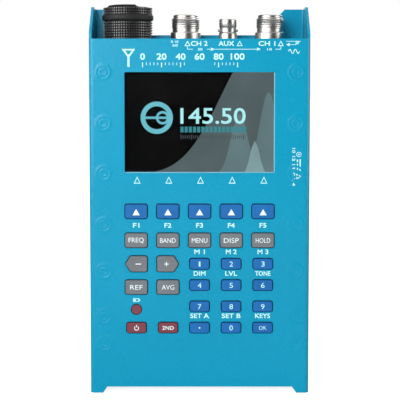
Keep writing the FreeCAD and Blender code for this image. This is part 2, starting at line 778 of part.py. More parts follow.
# ---- Jacks ---------------------------------------------------------------------------------
def n_jack(x):
    # Threaded coaxial jack: collar, neck, thread of ring grooves and a plain lead.
    base = plate_height
    rim = base + port_tip
    profile = [(jack_shank_radius, shank_end), (jack_shank_radius, top_face),
               (port_collar_radius, top_face), (port_collar_radius, base + port_collar_top),
               (port_neck_radius, base + port_collar_top)]
    start = base + port_thread_start
    profile.append((port_neck_radius, start - port_thread_pitch / 2))
    for turn in range(port_thread_turns):
        z = start + turn * port_thread_pitch
        profile.append((port_thread_radius, z))
        profile.append((port_thread_radius - port_thread_depth, z + port_thread_pitch / 2))
    finish = start + port_thread_turns * port_thread_pitch
    profile += [(port_thread_radius, finish), (port_lead_radius, finish + port_thread_run_out),
                (port_lead_radius, rim - port_lead_chamfer),
                (port_lead_radius - port_lead_chamfer, rim), (port_bore_radius, rim),
                (port_bore_radius, shank_end)]
    return turned(x, mid_depth, profile)


def af_jack():
    # Bayonet coaxial jack with two lugs.
    base = plate_height
    rim = base + bnc_tip
    profile = [(jack_shank_radius, shank_end), (jack_shank_radius, top_face),
               (bnc_flange_radius, top_face), (bnc_flange_radius, top_face + bnc_flange_height),
               (bnc_collar_radius, top_face + bnc_flange_height),
               (bnc_collar_radius, base + bnc_collar_top),
               (bnc_neck_radius, base + bnc_collar_top + bnc_collar_cone),
               (bnc_neck_radius, base + bnc_barrel_start - bnc_barrel_cone),
               (bnc_barrel_radius, base + bnc_barrel_start),
               (bnc_barrel_radius, rim - bnc_rim_chamfer),
               (bnc_barrel_radius - bnc_rim_chamfer, rim),
               (bnc_bore_radius, rim), (bnc_bore_radius, shank_end)]
    jack = turned(af_x, mid_depth, profile)
    for side in (-1, 1):
        root = (bnc_bore_radius + bnc_neck_radius) / 2
        ends = sorted((af_x + side * root, af_x + side * bnc_lug_reach))
        jack = jack.fuse(rod_side(mid_depth, base + bnc_lug_height, ends, bnc_lug_radius))
    return jack


def jack_ports():
    # Each jack's axis, the height of its rim, its bore and its centre contact.
    port_rim, bnc_rim = plate_height + port_tip, plate_height + bnc_tip
    return [(port_1_x, port_rim, port_bore_radius, port_contact_radius),
            (port_2_x, port_rim, port_bore_radius, port_contact_radius),
            (af_x, bnc_rim, bnc_bore_radius, bnc_contact_radius)]


def jack_insulators():
    beads = []
    for x, rim, bore, contact in jack_ports():
        top = rim - jack_bead_recess
        bead = rod_up(x, mid_depth, (shank_end, top), bore)
        beads.append(bead.cut(rod_up(x, mid_depth, (shank_end - 1, top + 1), contact)))
    return Part.makeCompound(beads)


def jack_contacts():
    pins = []
    for x, rim, bore, contact in jack_ports():
        top = rim - jack_contact_recess
        pin = rod_up(x, mid_depth, (shank_end, top), contact)
        share, depth = jack_contact_bore
        pins.append(pin.cut(rod_up(x, mid_depth, (top - depth, top + 1), contact * share)))
    return Part.makeCompound(pins)


def panel_nuts():
    # A nut inside the top panel on each jack, and one outside it on the encoder.
    nuts = []
    inside = top_face - panel_sheet
    for x in (port_1_x, port_2_x, af_x):
        nut = hexagon_up(x, mid_depth, (inside - jack_nut_height, inside), jack_nut_flats)
        nuts.append(nut.cut(rod_up(x, mid_depth, (inside - jack_nut_height - 1, inside + 1),
                                   jack_shank_radius + screw_fit)))
    nut = hexagon_up(knob_x, mid_depth, (top_face, top_face + encoder_nut_height),
                     encoder_nut_flats)
    nuts.append(nut.cut(rod_up(knob_x, mid_depth, (top_face - 1, top_face + encoder_nut_height + 1),
                               bushing_radius + screw_fit)))
    return Part.makeCompound(nuts)


# ---- Encoder and knob ----------------------------------------------------------------------
def encoder_body():
    half, top = encoder_size / 2, top_face - panel_sheet
    body = block((knob_x - half, knob_x + half), (mid_depth - half, mid_depth + half),
                 (top - encoder_height, top))
    body = body.fuse(rod_up(knob_x, mid_depth, (top, top_face + bushing_height), bushing_radius))
    bore = rod_up(knob_x, mid_depth,
                  (top - encoder_height + encoder_floor, top_face + bushing_height + 1),
                  shaft_radius + shaft_fit)
    return body.cut(bore).removeSplitter()


def encoder_shaft():
    low = top_face - panel_sheet - encoder_height + encoder_floor + shaft_fit
    return rod_up(knob_x, mid_depth, (low, plate_height + ring_high - shaft_top_gap), shaft_radius)


def knob():
    bottom, base = top_face + knob_lift, plate_height
    seat = knob_radius - ring_seat
    profile = [(shaft_radius + shaft_fit, base + ring_high),
               (shaft_radius + shaft_fit, bottom + knob_skirt_depth),
               (knob_skirt_radius, bottom + knob_skirt_depth), (knob_skirt_radius, bottom),
               (knob_radius, bottom), (knob_radius, base + ring_low), (seat, base + ring_low),
               (seat, base + ring_high), (knob_radius, base + ring_high),
               (knob_radius, base + knob_shoulder - knob_rim_chamfer),
               (knob_radius - knob_rim_chamfer, base + knob_shoulder),
               (knob_cap_radius, base + knob_shoulder),
               (knob_cap_radius - knob_cap_chamfer, base + knob_top - knob_dome_fall),
               (knob_dome_radius, base + knob_top), (0, base + knob_top),
               (0, base + ring_high)]
    # The finger rest takes one side of the cap away, down to a flat.
    low, across = base + rest_height, (mid_depth - knob_radius, mid_depth + knob_radius)
    hollow = rod_back(knob_x + rest_reach, low + rest_curve, across, rest_curve)
    flat = block((knob_x + rest_reach, knob_x + knob_radius), across, (low, low + 2 * rest_curve))
    return turned(knob_x, mid_depth, profile).cut(hollow).cut(flat)


def knob_ring():
    base = plate_height
    profile = [(knob_radius - ring_seat, base + ring_low), (ring_radius, base + ring_low),
               (ring_radius, base + ring_high), (knob_radius - ring_seat, base + ring_high)]
    ring = turned(knob_x, mid_depth, profile)
    rims = [edge for edge in ring.Edges
            if hasattr(edge.Curve, "Radius") and abs(edge.Curve.Radius - ring_radius) < 1e-6]
    return ring.makeFillet(ring_round, rims)


# ---- Power inlet and data socket -----------------------------------------------------------
def dc_jack():
    length, deep, tall = inlet_body
    back = flange_half - fit_gap
    body = block((back - length, back), (main_board_back, main_board_back + deep),
                 (inlet_z - tall / 2, inlet_z + tall / 2))
    body = body.fuse(rod_side(inlet_depth, inlet_z, (back - 1, shell_half - fit_gap),
                              inlet_nose_radius))
    mouth = shell_half - fit_gap
    body = body.cut(rod_side(inlet_depth, inlet_z, (mouth - inlet_bore_depth, mouth + 1),
                             inlet_bore_radius))
    pin = rod_side(inlet_depth, inlet_z, (mouth - inlet_bore_depth - 1, mouth - inlet_pin_recess),
                   inlet_pin_radius)
    return body.fuse(pin).removeSplitter()


def usb_socket():
    front = stud_end + board_thickness
    half, tip = usb_width / 2, base_face + usb_setback
    bend = usb_thickness / 2 - 0.2
    shell = block((usb_x - half, usb_x + half), (front, front + usb_thickness),
                  (tip, tip + usb_length))
    up = FreeCAD.Vector(0, 0, 1)
    shell = shell.makeFillet(bend, edges_along(shell, up))
    room = block((usb_x - half + usb_wall, usb_x + half - usb_wall),
                 (front + usb_wall, front + usb_thickness - usb_wall),
                 (tip - 1, tip + usb_length - usb_floor))
    room = room.makeFillet(bend - usb_wall, edges_along(room, up))
    width, thick, reach = usb_tongue
    middle = front + usb_thickness / 2
    tongue = block((usb_x - width / 2, usb_x + width / 2), (middle - thick / 2, middle + thick / 2),
                   (tip + usb_length - usb_floor - reach, tip + usb_length - usb_floor / 2))
    return shell.cut(room).fuse(tongue).removeSplitter()


# ---- Build ---------------------------------------------------------------------------------
pieces = {
    "front_shell": front_shell, "rear_cover": rear_cover, "top_panel": top_panel,
    "bottom_panel": bottom_panel, "rear_feet": rear_feet, "window_lens": window_lens,
    "display_module": display_module, "display_bracket": display_bracket, "key_mat": key_mat,
    "status_light": status_light, "key_board": key_board, "main_board": main_board,
    "shield_can": shield_can, "rf_cables": rf_cables, "battery_pack": battery_pack,
    "beeper": beeper, "flat_cable": flat_cable, "side_screws": side_screws,
    "clinch_hardware": clinch_hardware, "board_screws": board_screws, "af_jack": af_jack,
    "port_1_jack": lambda: n_jack(port_1_x), "port_2_jack": lambda: n_jack(port_2_x),
    "jack_insulators": jack_insulators, "jack_contacts": jack_contacts,
    "panel_nuts": panel_nuts, "encoder_body": encoder_body, "encoder_shaft": encoder_shaft,
    "knob": knob, "knob_ring": knob_ring, "dc_jack": dc_jack, "usb_socket": usb_socket,
}

os.makedirs("parts", exist_ok=True)
for name, build in pieces.items():
    build().exportStep(f"parts/{name}.step")
for name, key in keys.items():
    keycap(*key).exportStep(f"parts/{name}.step")
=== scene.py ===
import json
from math import atan2, cos, exp, radians, sin, tau

import bmesh
import bpy
from mathutils import Matrix, Vector

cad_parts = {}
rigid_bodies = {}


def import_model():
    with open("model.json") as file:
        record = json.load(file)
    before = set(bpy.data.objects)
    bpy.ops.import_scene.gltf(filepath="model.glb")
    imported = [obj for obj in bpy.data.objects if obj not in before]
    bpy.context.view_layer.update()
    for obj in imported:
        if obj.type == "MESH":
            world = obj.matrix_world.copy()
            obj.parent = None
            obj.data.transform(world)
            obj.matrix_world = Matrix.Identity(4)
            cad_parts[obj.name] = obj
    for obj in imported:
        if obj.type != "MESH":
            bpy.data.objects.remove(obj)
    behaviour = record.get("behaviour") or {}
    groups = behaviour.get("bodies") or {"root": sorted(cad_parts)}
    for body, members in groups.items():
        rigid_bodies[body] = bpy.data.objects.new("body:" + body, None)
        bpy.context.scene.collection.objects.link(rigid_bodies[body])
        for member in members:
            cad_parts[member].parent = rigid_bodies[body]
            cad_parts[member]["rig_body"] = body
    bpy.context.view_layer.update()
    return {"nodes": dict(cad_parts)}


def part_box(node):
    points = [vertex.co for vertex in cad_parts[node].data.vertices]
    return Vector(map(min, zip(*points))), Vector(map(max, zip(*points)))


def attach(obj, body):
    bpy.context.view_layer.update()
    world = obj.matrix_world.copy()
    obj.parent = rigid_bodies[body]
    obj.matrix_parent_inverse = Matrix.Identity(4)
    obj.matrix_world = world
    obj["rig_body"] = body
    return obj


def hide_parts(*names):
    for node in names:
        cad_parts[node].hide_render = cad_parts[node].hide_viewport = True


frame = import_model()
nodes = frame["nodes"]
mm = 0.001
plateRise = 5 * mm
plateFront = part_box("front_shell")[0].y
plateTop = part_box("top_panel")[1].z + plateRise
print("frame loaded:", len(nodes), "nodes")


# objects and meshes

sharpAngle = 32


def addObject(name, data):
    piece = bpy.data.objects.new(name, data)
    bpy.context.scene.collection.objects.link(piece)
    return piece


def painted(mesh, material):
    mesh.materials.clear()
    mesh.materials.append(material)
    return mesh


def addPiece(name, mesh, material, body, stands=()):
    piece = addObject(name, mesh)
    if material:
        painted(mesh, material)
    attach(piece, body)
    if stands:
        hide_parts(*stands)
    return piece


def meshOf(name, build=None, parts=()):
    # the parts as one mesh, with whatever build does to them
    shape = bmesh.new()
    for part in parts:
        shape.from_mesh(part)
    if build:
        build(shape)
    mesh = bpy.data.meshes.new(name)
    shape.to_mesh(mesh)
    shape.free()
    return mesh


def meshFrom(name, points, faces=()):
    mesh = bpy.data.meshes.new(name)
    mesh.from_pydata([tuple(point) for point in points], [], faces)
    return mesh


def plainMesh(piece, name):
    # what a curve or the modifiers of a piece make, as a mesh of its own
    made = piece.evaluated_get(bpy.context.evaluated_depsgraph_get())
    mesh = bpy.data.meshes.new_from_object(made)
    mesh.name = name
    source = piece.data
    bpy.data.objects.remove(piece)
    if source.users == 0:
        kept = bpy.data.meshes if isinstance(source, bpy.types.Mesh) else bpy.data.curves
        kept.remove(source)
    return mesh


def modified(mesh, kind, **settings):
    piece = addObject(mesh.name, mesh)
    modifier = piece.modifiers.new(kind, kind)
    for key, value in settings.items():
        setattr(modifier, key, value)
    return plainMesh(piece, mesh.name)


def smoothed(mesh, angle=sharpAngle):
    mesh.shade_smooth()
    mesh.set_sharp_from_angle(angle=radians(angle))
    return mesh


def flatKept(mesh):
    # large flat faces keep their own normal beside small rounded ones
    return modified(mesh, "WEIGHTED_NORMAL", mode="FACE_AREA", weight=100, keep_sharp=True)


def softened(mesh, width):
    # small bevels on every sharp edge
    return smoothed(modified(mesh, "BEVEL", width=width * mm, segments=2, limit_method="ANGLE",
                             angle_limit=radians(sharpAngle)))


def cutAway(mesh, tool):
    cutter = addObject("cutter", tool)
    made = modified(mesh, "BOOLEAN", operation="DIFFERENCE", solver="EXACT", object=cutter)
    bpy.data.objects.remove(cutter)
    return made


def lofted(name, loops, lids=True):
    # walls between loops of points, any of which may be a single point, and lids on both ends
    def build(shape):
        rings = [[shape.verts.new(point) for point in loop] for loop in loops]
        for low, high in zip(rings, rings[1:]):
            count = max(len(low), len(high))
            for n in range(count):
                after = (n + 1) % count
                corners = (low[n % len(low)], low[after % len(low)],
                           high[after % len(high)], high[n % len(high)])
                shape.faces.new(tuple(dict.fromkeys(corners)))
        if lids:
            shape.faces.new(rings[0])
            shape.faces.new(rings[-1])
        bmesh.ops.recalc_face_normals(shape, faces=shape.faces)
    return meshOf(name, build)


def turned(name, profile, segments, centre=Vector(), soft=0.0):
    # a lathe-turned piece from (radius, height) points in millimetres
    loops = []
    for radius, height in ((r * mm, h * mm) for r, h in profile):
        turns = [tau * n / segments for n in range(segments if radius else 1)]
        loops.append([centre + Vector((radius * cos(a), radius * sin(a), height)) for a in turns])
    mesh = lofted(name, loops, lids=False)
    return softened(mesh, soft) if soft else smoothed(mesh)


def axisOf(node, z):
    # where the upright axis of a CAD node passes a height
    low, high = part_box(node)
    return Vector(((low.x + high.x) / 2, (low.y + high.y) / 2, z))


dressing = {"weld": 0.001 * mm, "flatAngle": 0.2, "sharpAngle": 28}


def dressed(node, material):
    # a smooth-shaded copy of a CAD node that stands for it, without slivers in its flat faces
    def cleaned(shape):
        bmesh.ops.remove_doubles(shape, verts=shape.verts, dist=dressing["weld"])
        bmesh.ops.dissolve_limit(shape, angle_limit=radians(dressing["flatAngle"]),
                                 verts=[], edges=shape.edges)
    source = nodes[node]
    mesh = smoothed(meshOf(node + "_dressed", cleaned, [source.data]), dressing["sharpAngle"])
    addPiece(node + "_finish", flatKept(mesh), material, source["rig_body"], stands=(node,))


# node trees

def fill(node, sockets):
    # sets or links a node's inputs, which are given by name or by number
    for key, value in sockets.items():
        if isinstance(value, bpy.types.NodeSocket):
            node.id_data.links.new(value, node.inputs[key])
        else:
            node.inputs[key].default_value = value


def addNode(tree, kind, sockets=None, **settings):
    node = tree.nodes.new(kind)
    for key, value in settings.items():
        setattr(node, key, value)
    fill(node, sockets or {})
    return node


def output(tree, kind, sockets=None, **settings):
    return addNode(tree, kind, sockets, **settings).outputs[0]


def maths(tree, operation, *values):
    return output(tree, "ShaderNodeMath", dict(enumerate(values)), operation=operation)


def remap(tree, value, low, high, fromLow=0.0, fromHigh=1.0):
    return output(tree, "ShaderNodeMapRange", {"Value": value, "From Min": fromLow,
                                               "From Max": fromHigh, "To Min": low, "To Max": high})


def newTree(name, inputs):
    # a geometry tree with inputs given as {label: kind}; returns what it is given as sockets
    tree = bpy.data.node_groups.new(name, "GeometryNodeTree")
    tree.is_modifier = True
    for label, kind in {"Geometry": "Geometry", **inputs}.items():
        tree.interface.new_socket(name=label, in_out="INPUT", socket_type="NodeSocket" + kind)
    tree.interface.new_socket(name="Geometry", in_out="OUTPUT", socket_type="NodeSocketGeometry")
    return tree, tree.nodes.new("NodeGroupInput").outputs


def endTree(tree, given, geometry):
    # the tree's result is real geometry in the given finish
    real = output(tree, "GeometryNodeRealizeInstances", {"Geometry": geometry})
    finished = output(tree, "GeometryNodeSetMaterial", {"Geometry": real, "Material": given["Finish"]})
    addNode(tree, "NodeGroupOutput", {"Geometry": finished})
    return tree


def shapeOf(tree, piece):
    return addNode(tree, "GeometryNodeObjectInfo", {"Object": piece}).outputs["Geometry"]


def grown(name, tree, mesh, values, body, stands=()):
    # runs a tree on a mesh and keeps the result as one plain mesh
    base = addObject(name + "_base", mesh)
    modifier = base.modifiers.new("grow", "NODES")
    modifier.node_group = tree
    for item in tree.interface.items_tree:
        if item.in_out == "INPUT" and item.name in values:
            modifier[item.identifier] = values[item.name]
    return addPiece(name, smoothed(plainMesh(base, name)), None, body, stands)


def makeCopiesTree():
    # a copy of one piece on every point
    tree, given = newTree("copies on points", {"Piece": "Object", "Finish": "Material"})
    copies = output(tree, "GeometryNodeInstanceOnPoints",
                    {"Points": given["Geometry"], "Instance": shapeOf(tree, given["Piece"])})
    return endTree(tree, given, copies)


copiesTree = makeCopiesTree()


def scattered(name, points, shape, material, stands=()):
    # one mesh of copies of a shape that is modelled round the origin, on the case
    pattern = addObject(name + "_pattern", shape)
    grown(name, copiesTree, meshFrom(name + "_points", points),
          {"Piece": pattern, "Finish": material}, "case", stands)
    bpy.data.objects.remove(pattern)


# materials

def newMaterial(name):
    material = bpy.data.materials.new(name)
    material.use_nodes = True
    tree = material.node_tree
    return material, tree, tree.nodes["Principled BSDF"]


def objectPlace(tree):
    return tree.nodes.new("ShaderNodeTexCoord").outputs["Object"]


def objectNoise(tree, scale, detail=3.0, stretch=None, roughness=0.5):
    place = objectPlace(tree)
    if stretch:
        place = output(tree, "ShaderNodeMapping", {"Vector": place, "Scale": stretch})
    return output(tree, "ShaderNodeTexNoise", {"Vector": place, "Scale": scale, "Detail": detail,
                                               "Roughness": roughness})


def ramp(tree, value, *stops):
    node = addNode(tree, "ShaderNodeValToRGB", {"Fac": value})
    band = node.color_ramp.elements
    while len(band) < len(stops):
        band.new(0.5)
    for element, (place, colour) in zip(band, stops):
        element.position = place
        element.color = (*colour, 1)
    return node.outputs[0]


def blended(tree, factor, first, second):
    return addNode(tree, "ShaderNodeMix", {0: factor, 6: first, 7: second},
                   data_type="RGBA").outputs[2]


def bumped(tree, height, distance, normal=None):
    sockets = {"Height": height, "Distance": distance, "Strength": 1.0}
    if normal is not None:
        sockets["Normal"] = normal
    return output(tree, "ShaderNodeBump", sockets)


def shade(colour, factor):
    return tuple(min(1.0, c * factor) for c in colour)


# edge is the paler tone of a painted highlight along the case's rounded edges
casePaint = {"colour": (0.0012, 0.292, 0.474), "edge": (0.03, 0.36, 0.56, 1),
             "edgeRadius": 0.35 * mm, "speckleScale": 900.0, "roughness": (0.16, 0.26),
             "gloss": 0.3, "peelScale": 520.0, "peel": 0.04 * mm}


def paintMaterial(name, roundEdgesAndHighlight=True):
    # powder coat: an even tone with a fine speckle and orange peel, and edges painted paler as a
    # painted highlight along the rounded edges
    material, tree, shader = newMaterial(name)
    base, normal = casePaint["colour"], None
    cloud = objectNoise(tree, 22.0, 2.0)
    speckle = objectNoise(tree, casePaint["speckleScale"], 4.0, roughness=0.7)
    tone = blended(tree, 0.5,
                   ramp(tree, cloud, (0.3, shade(base, 0.95)), (0.7, shade(base, 1.05))),
                   ramp(tree, speckle, (0.30, shade(base, 0.86)), (0.5, base),
                        (0.72, shade(base, 1.22))))
    if roundEdgesAndHighlight:
        normal = output(tree, "ShaderNodeBevel", {"Radius": casePaint["edgeRadius"]}, samples=4)
        flat = tree.nodes.new("ShaderNodeNewGeometry").outputs["Normal"]
        lean = addNode(tree, "ShaderNodeVectorMath", {0: normal, 1: flat},
                       operation="DOT_PRODUCT").outputs["Value"]
        # painted highlight: where the rounded normal leans away from the flat one, the tone turns to
        # the paler edge colour
        tone = blended(tree, remap(tree, lean, 0.5, 0.0, 0.75, 0.995), tone, casePaint["edge"])
    peel = objectNoise(tree, casePaint["peelScale"], 2.0)
    fill(shader, {"Base Color": tone, "Specular IOR Level": casePaint["gloss"],
                  "Roughness": remap(tree, speckle, *casePaint["roughness"]),
                  "Normal": bumped(tree, peel, casePaint["peel"], normal)})
    return material


plastic = {"grainScale": 1500.0, "grain": 0.02 * mm}
# painted shade in the key gaps: plastic between start and end behind the front face fades down to tone
gapShade = {"start": plateFront + 0.5 * mm, "end": plateFront + 0.9 * mm, "tone": 0.06}


def plasticMaterial(name, colour, roughness=(0.38, 0.52), fade=1.12, gloss=0.5, gapShaded=False):
    # moulded plastic with a fine spark-eroded grain; painted shade darkens what lies behind the front,
    # so that the gaps round the keys read dark
    material, tree, shader = newMaterial(name)
    tone = ramp(tree, objectNoise(tree, 60.0), (0.3, shade(colour, 0.93)), (0.7, shade(colour, fade)))
    if gapShaded:
        # painted shade: the colour darkens with depth behind the plate's front
        depth = addNode(tree, "ShaderNodeSeparateXYZ", {"Vector": objectPlace(tree)}).outputs["Y"]
        dim = remap(tree, depth, 1.0, gapShade["tone"], gapShade["start"], gapShade["end"])
        tone = output(tree, "ShaderNodeVectorMath", {0: tone, "Scale": dim}, operation="SCALE")
    grain = objectNoise(tree, plastic["grainScale"], roughness=0.6)
    fill(shader, {"Base Color": tone, "Specular IOR Level": gloss,
                  "Roughness": remap(tree, grain, *roughness),
                  "Normal": bumped(tree, grain, plastic["grain"])})
    return material


rubber = {"gloss": 0.4, "grainScale": 2200.0, "grain": 0.04 * mm, "dust": 1.9}


def rubberMaterial(name, colour, roughness=(0.55, 0.75)):
    material, tree, shader = newMaterial(name)
    dust = objectNoise(tree, 140.0, 5.0, roughness=0.7)
    tone = ramp(tree, dust, (0.35, colour), (0.8, shade(colour, rubber["dust"])))
    grain = objectNoise(tree, rubber["grainScale"], 2.0)
    fill(shader, {"Base Color": tone, "Specular IOR Level": rubber["gloss"],
                  "Roughness": remap(tree, dust, *roughness),
                  "Normal": bumped(tree, grain, rubber["grain"])})
    return material


toolMarks = 0.004 * mm


def metalMaterial(name, colour, roughness, lines=(2, 2, 900)):
    # machined and plated metal: fine tool marks, run round the turned pieces
    material, tree, shader = newMaterial(name)
    smear = objectNoise(tree, 70.0, 4.0, roughness=0.65)
    marks = objectNoise(tree, 1.0, stretch=lines)
    uneven = maths(tree, "MULTIPLY", smear, marks)
    fill(shader, {"Base Color": ramp(tree, smear, (0.3, shade(colour, 0.88)), (0.7, colour)),
                  "Metallic": 1.0, "Roughness": remap(tree, uneven, *roughness, 0.1, 0.5),
                  "Normal": bumped(tree, marks, toolMarks)})
    return material


def boardMaterial():
    # solder mask over faint copper tracks
    material, tree, shader = newMaterial("circuit board")
    tracks = addNode(tree, "ShaderNodeTexBrick", {
        "Vector": objectPlace(tree), "Scale": 160.0, "Color1": (0.010, 0.085, 0.035, 1),
        "Color2": (0.012, 0.105, 0.045, 1), "Mortar": (0.006, 0.050, 0.022, 1)}).outputs
    fill(shader, {"Base Color": tracks["Color"],
                  "Roughness": remap(tree, objectNoise(tree, 300.0), 0.25, 0.45),
                  "Normal": bumped(tree, tracks["Fac"], 0.03 * mm)})
    return material


def inkMaterial(name, red):
    # screen-printed ink, a little uneven
    material, tree, shader = newMaterial(name)
    grain = objectNoise(tree, 1600.0)
    tone = ramp(tree, grain, (0.25, (0.78 * red, 0.80, 0.84)), (0.6, (red, 0.93, 0.94)))
    fill(shader, {"Base Color": tone, "Roughness": remap(tree, grain, 0.45, 0.6)})
    return material


def lensMaterial():
    material, tree, shader = newMaterial("window lens")
    fill(shader, {"Base Color": (1, 1, 1, 1), "Transmission Weight": 1.0, "IOR": 1.05,
                  "Roughness": remap(tree, objectNoise(tree, 90.0), 0.0, 0.01)})
    return material


def glowMaterial(name, colour, variation=0.1):
    # a lit part of the display; black under it so that only its own light counts
    material, tree, shader = newMaterial(name)
    tone = ramp(tree, objectNoise(tree, 55.0, 2.0), (0.3, shade(colour, 1 - variation)),
                (0.7, shade(colour, 1 + variation)))
    fill(shader, {"Base Color": (0.001, 0.001, 0.001, 1), "Roughness": 0.35,
                  "Specular IOR Level": 0.02, "Emission Color": tone,
                  "Emission Strength": 1.0})
    return material


paint = paintMaterial("case paint")
flatPaint = paintMaterial("case paint on small relief", roundEdgesAndHighlight=False)
whiteInk = inkMaterial("white ink", 0.84)
paleInk = inkMaterial("pale ink", 0.56)
keyBlue = plasticMaterial("blue keys", (0.005, 0.124, 0.385), gloss=0.3, gapShaded=True)
keyGrey = plasticMaterial("grey keys", (0.156, 0.174, 0.188), gloss=0.3, gapShaded=True)
keyRed = plasticMaterial("red keys", (0.184, 0.046, 0.061), gloss=0.3, gapShaded=True)
# a pale blue that paints the highlight on the right and bottom edges of the window opening
windowEdgeHighlight = plasticMaterial("ground lens edge", (0.24, 0.50, 0.62), gloss=0.4)
blackPlastic = plasticMaterial("black plastic", (0.014, 0.014, 0.015))
# painted light on the knob: its pads are a lighter grey than its near-black body, a painted highlight
# on the pads' tops and painted shade in the grooves between them, though both are one black plastic
knobBlackAndGrooveShade = plasticMaterial("knob black", (0.0045, 0.0047, 0.005), (0.42, 0.60), gloss=0.16)
knobPadsHighlight = plasticMaterial("knob pads", (0.042, 0.0422, 0.0425), (0.20, 0.30), 1.4, 0.8)
ringRubber = rubberMaterial("ring rubber", (0.0055, 0.0058, 0.006), (0.5, 0.7))
footRubber = rubberMaterial("foot rubber", (0.018, 0.018, 0.019))
matSilicone = rubberMaterial("mat silicone", (0.030, 0.045, 0.060))
nickel = metalMaterial("nickel plate", (0.50, 0.485, 0.465), (0.26, 0.36))
screwSteel = metalMaterial("zinc plate", (0.34, 0.35, 0.36), (0.45, 0.60))
tinPlate = metalMaterial("tin plate", (0.66, 0.66, 0.65), (0.30, 0.45), (300, 4, 4))
bareAluminium = metalMaterial("plain aluminium", (0.72, 0.73, 0.74), (0.28, 0.40), (500, 4, 4))
copper = metalMaterial("copper tube", (0.72, 0.40, 0.24), (0.25, 0.40))
gold = metalMaterial("gold plate", (0.86, 0.62, 0.26), (0.15, 0.25))
bead = plasticMaterial("white bead", (0.80, 0.79, 0.74), (0.3, 0.45), 1.02)
board = boardMaterial()
cellWrap = plasticMaterial("cell wrapping", (0.03, 0.09, 0.28), (0.2, 0.35))
film = plasticMaterial("ribbon film", (0.42, 0.17, 0.035), (0.25, 0.4))
lens = lensMaterial()
displayBlack = glowMaterial("display black", (0.0003, 0.0003, 0.0004))
print("materials ready")


# camera, light and floor

view = {"distance": 0.730, "lens": 119.6, "height": 0.173, "tilt": 4.5, "shiftX": 0.001,
        "shiftY": -0.0343}


def setCamera():
    data = bpy.data.cameras.new("camera")
    data.lens = view["lens"]
    data.shift_x = view["shiftX"]
    data.shift_y = view["shiftY"]
    data.clip_start = 0.01
    camera = addObject("camera", data)
    camera.location = (0, plateFront - view["distance"], view["height"])
    camera.rotation_euler = (radians(90 - view["tilt"]), 0, 0)
    bpy.context.scene.camera = camera


white = (1, 1, 1, 1)
studio = {"ambient": 0.5, "target": (0, 0, 0.12)}
lamps = {"key": {"power": 5.6, "size": 0.75, "place": (-0.52, -1.02, 0.42)},
         "fill": {"power": 3.2, "size": 0.3, "place": (-0.20, -0.90, 0.35), "hidden": ("glossy",)},
         "left": {"power": 6.0, "size": 0.7, "place": (-0.95, -0.55, 0.40),
                  "hidden": ("diffuse",)},
         "right": {"power": 3.6, "size": 0.6, "place": (1.02, -0.27, 0.30),
                   "hidden": ("diffuse",)},
         "rim": {"power": 3.0, "size": 0.6, "place": (0.3, 0.9, 0.8)}}


def addLamp(name, power, size, place, hidden=()):
    data = bpy.data.lights.new(name, "AREA")
    data.energy = power
    data.size = size
    lamp = addObject(name, data)
    lamp.location = place
    away = Vector(place) - Vector(studio["target"])
    lamp.rotation_euler = away.to_track_quat("Z", "Y").to_euler()
    for ray in hidden:
        setattr(lamp, "visible_" + ray, False)


def setWorld():
    # dim light from all sides, though the camera, mirrors and glass see plain white
    world = bpy.data.worlds.new("studio")
    bpy.context.scene.world = world
    world.use_nodes = True
    tree = world.node_tree
    tree.nodes.clear()
    path = tree.nodes.new("ShaderNodeLightPath").outputs
    seen = maths(tree, "MAXIMUM", path["Is Camera Ray"], path["Is Glossy Ray"])
    seen = maths(tree, "MAXIMUM", seen, path["Is Transmission Ray"])
    ambient, plain = (output(tree, "ShaderNodeBackground", {"Color": white, "Strength": power})
                      for power in (studio["ambient"], 1.0))
    sky = output(tree, "ShaderNodeMixShader", {0: seen, 1: ambient, 2: plain})
    addNode(tree, "ShaderNodeOutputWorld", {"Surface": sky})


ground = {"tone": 0.80, "mirroredTone": 0.46, "glow": 0.85, "reach": 12.0}


def addFloor():
    # pale floor that fades to the white background but keeps the object's shadow; mirrors see it
    # darker
    material, tree, shader = newMaterial("floor")
    path = tree.nodes.new("ShaderNodeLightPath").outputs
    tone = remap(tree, path["Is Glossy Ray"], ground["tone"], ground["mirroredTone"])
    fill(shader, {"Base Color": tone, "Roughness": 0.9, "Specular IOR Level": 0.0})
    glow = output(tree, "ShaderNodeEmission", {"Color": white, "Strength": ground["glow"]})
    both = output(tree, "ShaderNodeAddShader", {0: shader.outputs[0], 1: glow})
    pick = output(tree, "ShaderNodeMixShader",
                  {0: path["Is Camera Ray"], 1: shader.outputs[0], 2: both})
    fill(tree.nodes["Material Output"], {"Surface": pick})
    corners = [(x * ground["reach"], y * ground["reach"], 0)
               for x, y in ((-1, -1), (1, -1), (1, 1), (-1, 1))]
    addObject("floor", painted(meshFrom("floor", corners, [(0, 1, 2, 3)]), material))


flags = {"distance": 1.1, "low": -0.2, "high": 1.4,
         "spans": ((3, 47, 0.04), (98, 136, 0.20), (-158, -74, 0.14))}


def addFlags():
    # dark cards that only mirrors see: they give polished metal its dark bands
    for number, (start, end, tone) in enumerate(flags["spans"]):
        material, _, shader = newMaterial(f"dark card {number}")
        fill(shader, {"Base Color": (tone, tone, tone, 1), "Roughness": 1.0})
        corners = []
        for angle in (start, (start + end) / 2, end):
            turn = radians(angle)
            x, y = flags["distance"] * sin(turn), -flags["distance"] * cos(turn)
            corners += [(x, y, flags["low"]), (x, y, flags["high"])]
        mesh = meshFrom(f"card{number}", corners, [(0, 2, 3, 1), (2, 4, 5, 3)])
        card = addObject(f"card{number}", painted(mesh, material))
        for ray in ("camera", "diffuse", "shadow", "transmission", "volume_scatter"):
            setattr(card, "visible_" + ray, False)


setCamera()
setWorld()
addFloor()
addFlags()
for name, lamp in lamps.items():
    addLamp(name, **lamp)
bpy.context.scene.view_settings.view_transform = "Standard"
print("camera and light set")


# CAD nodes in their finishes

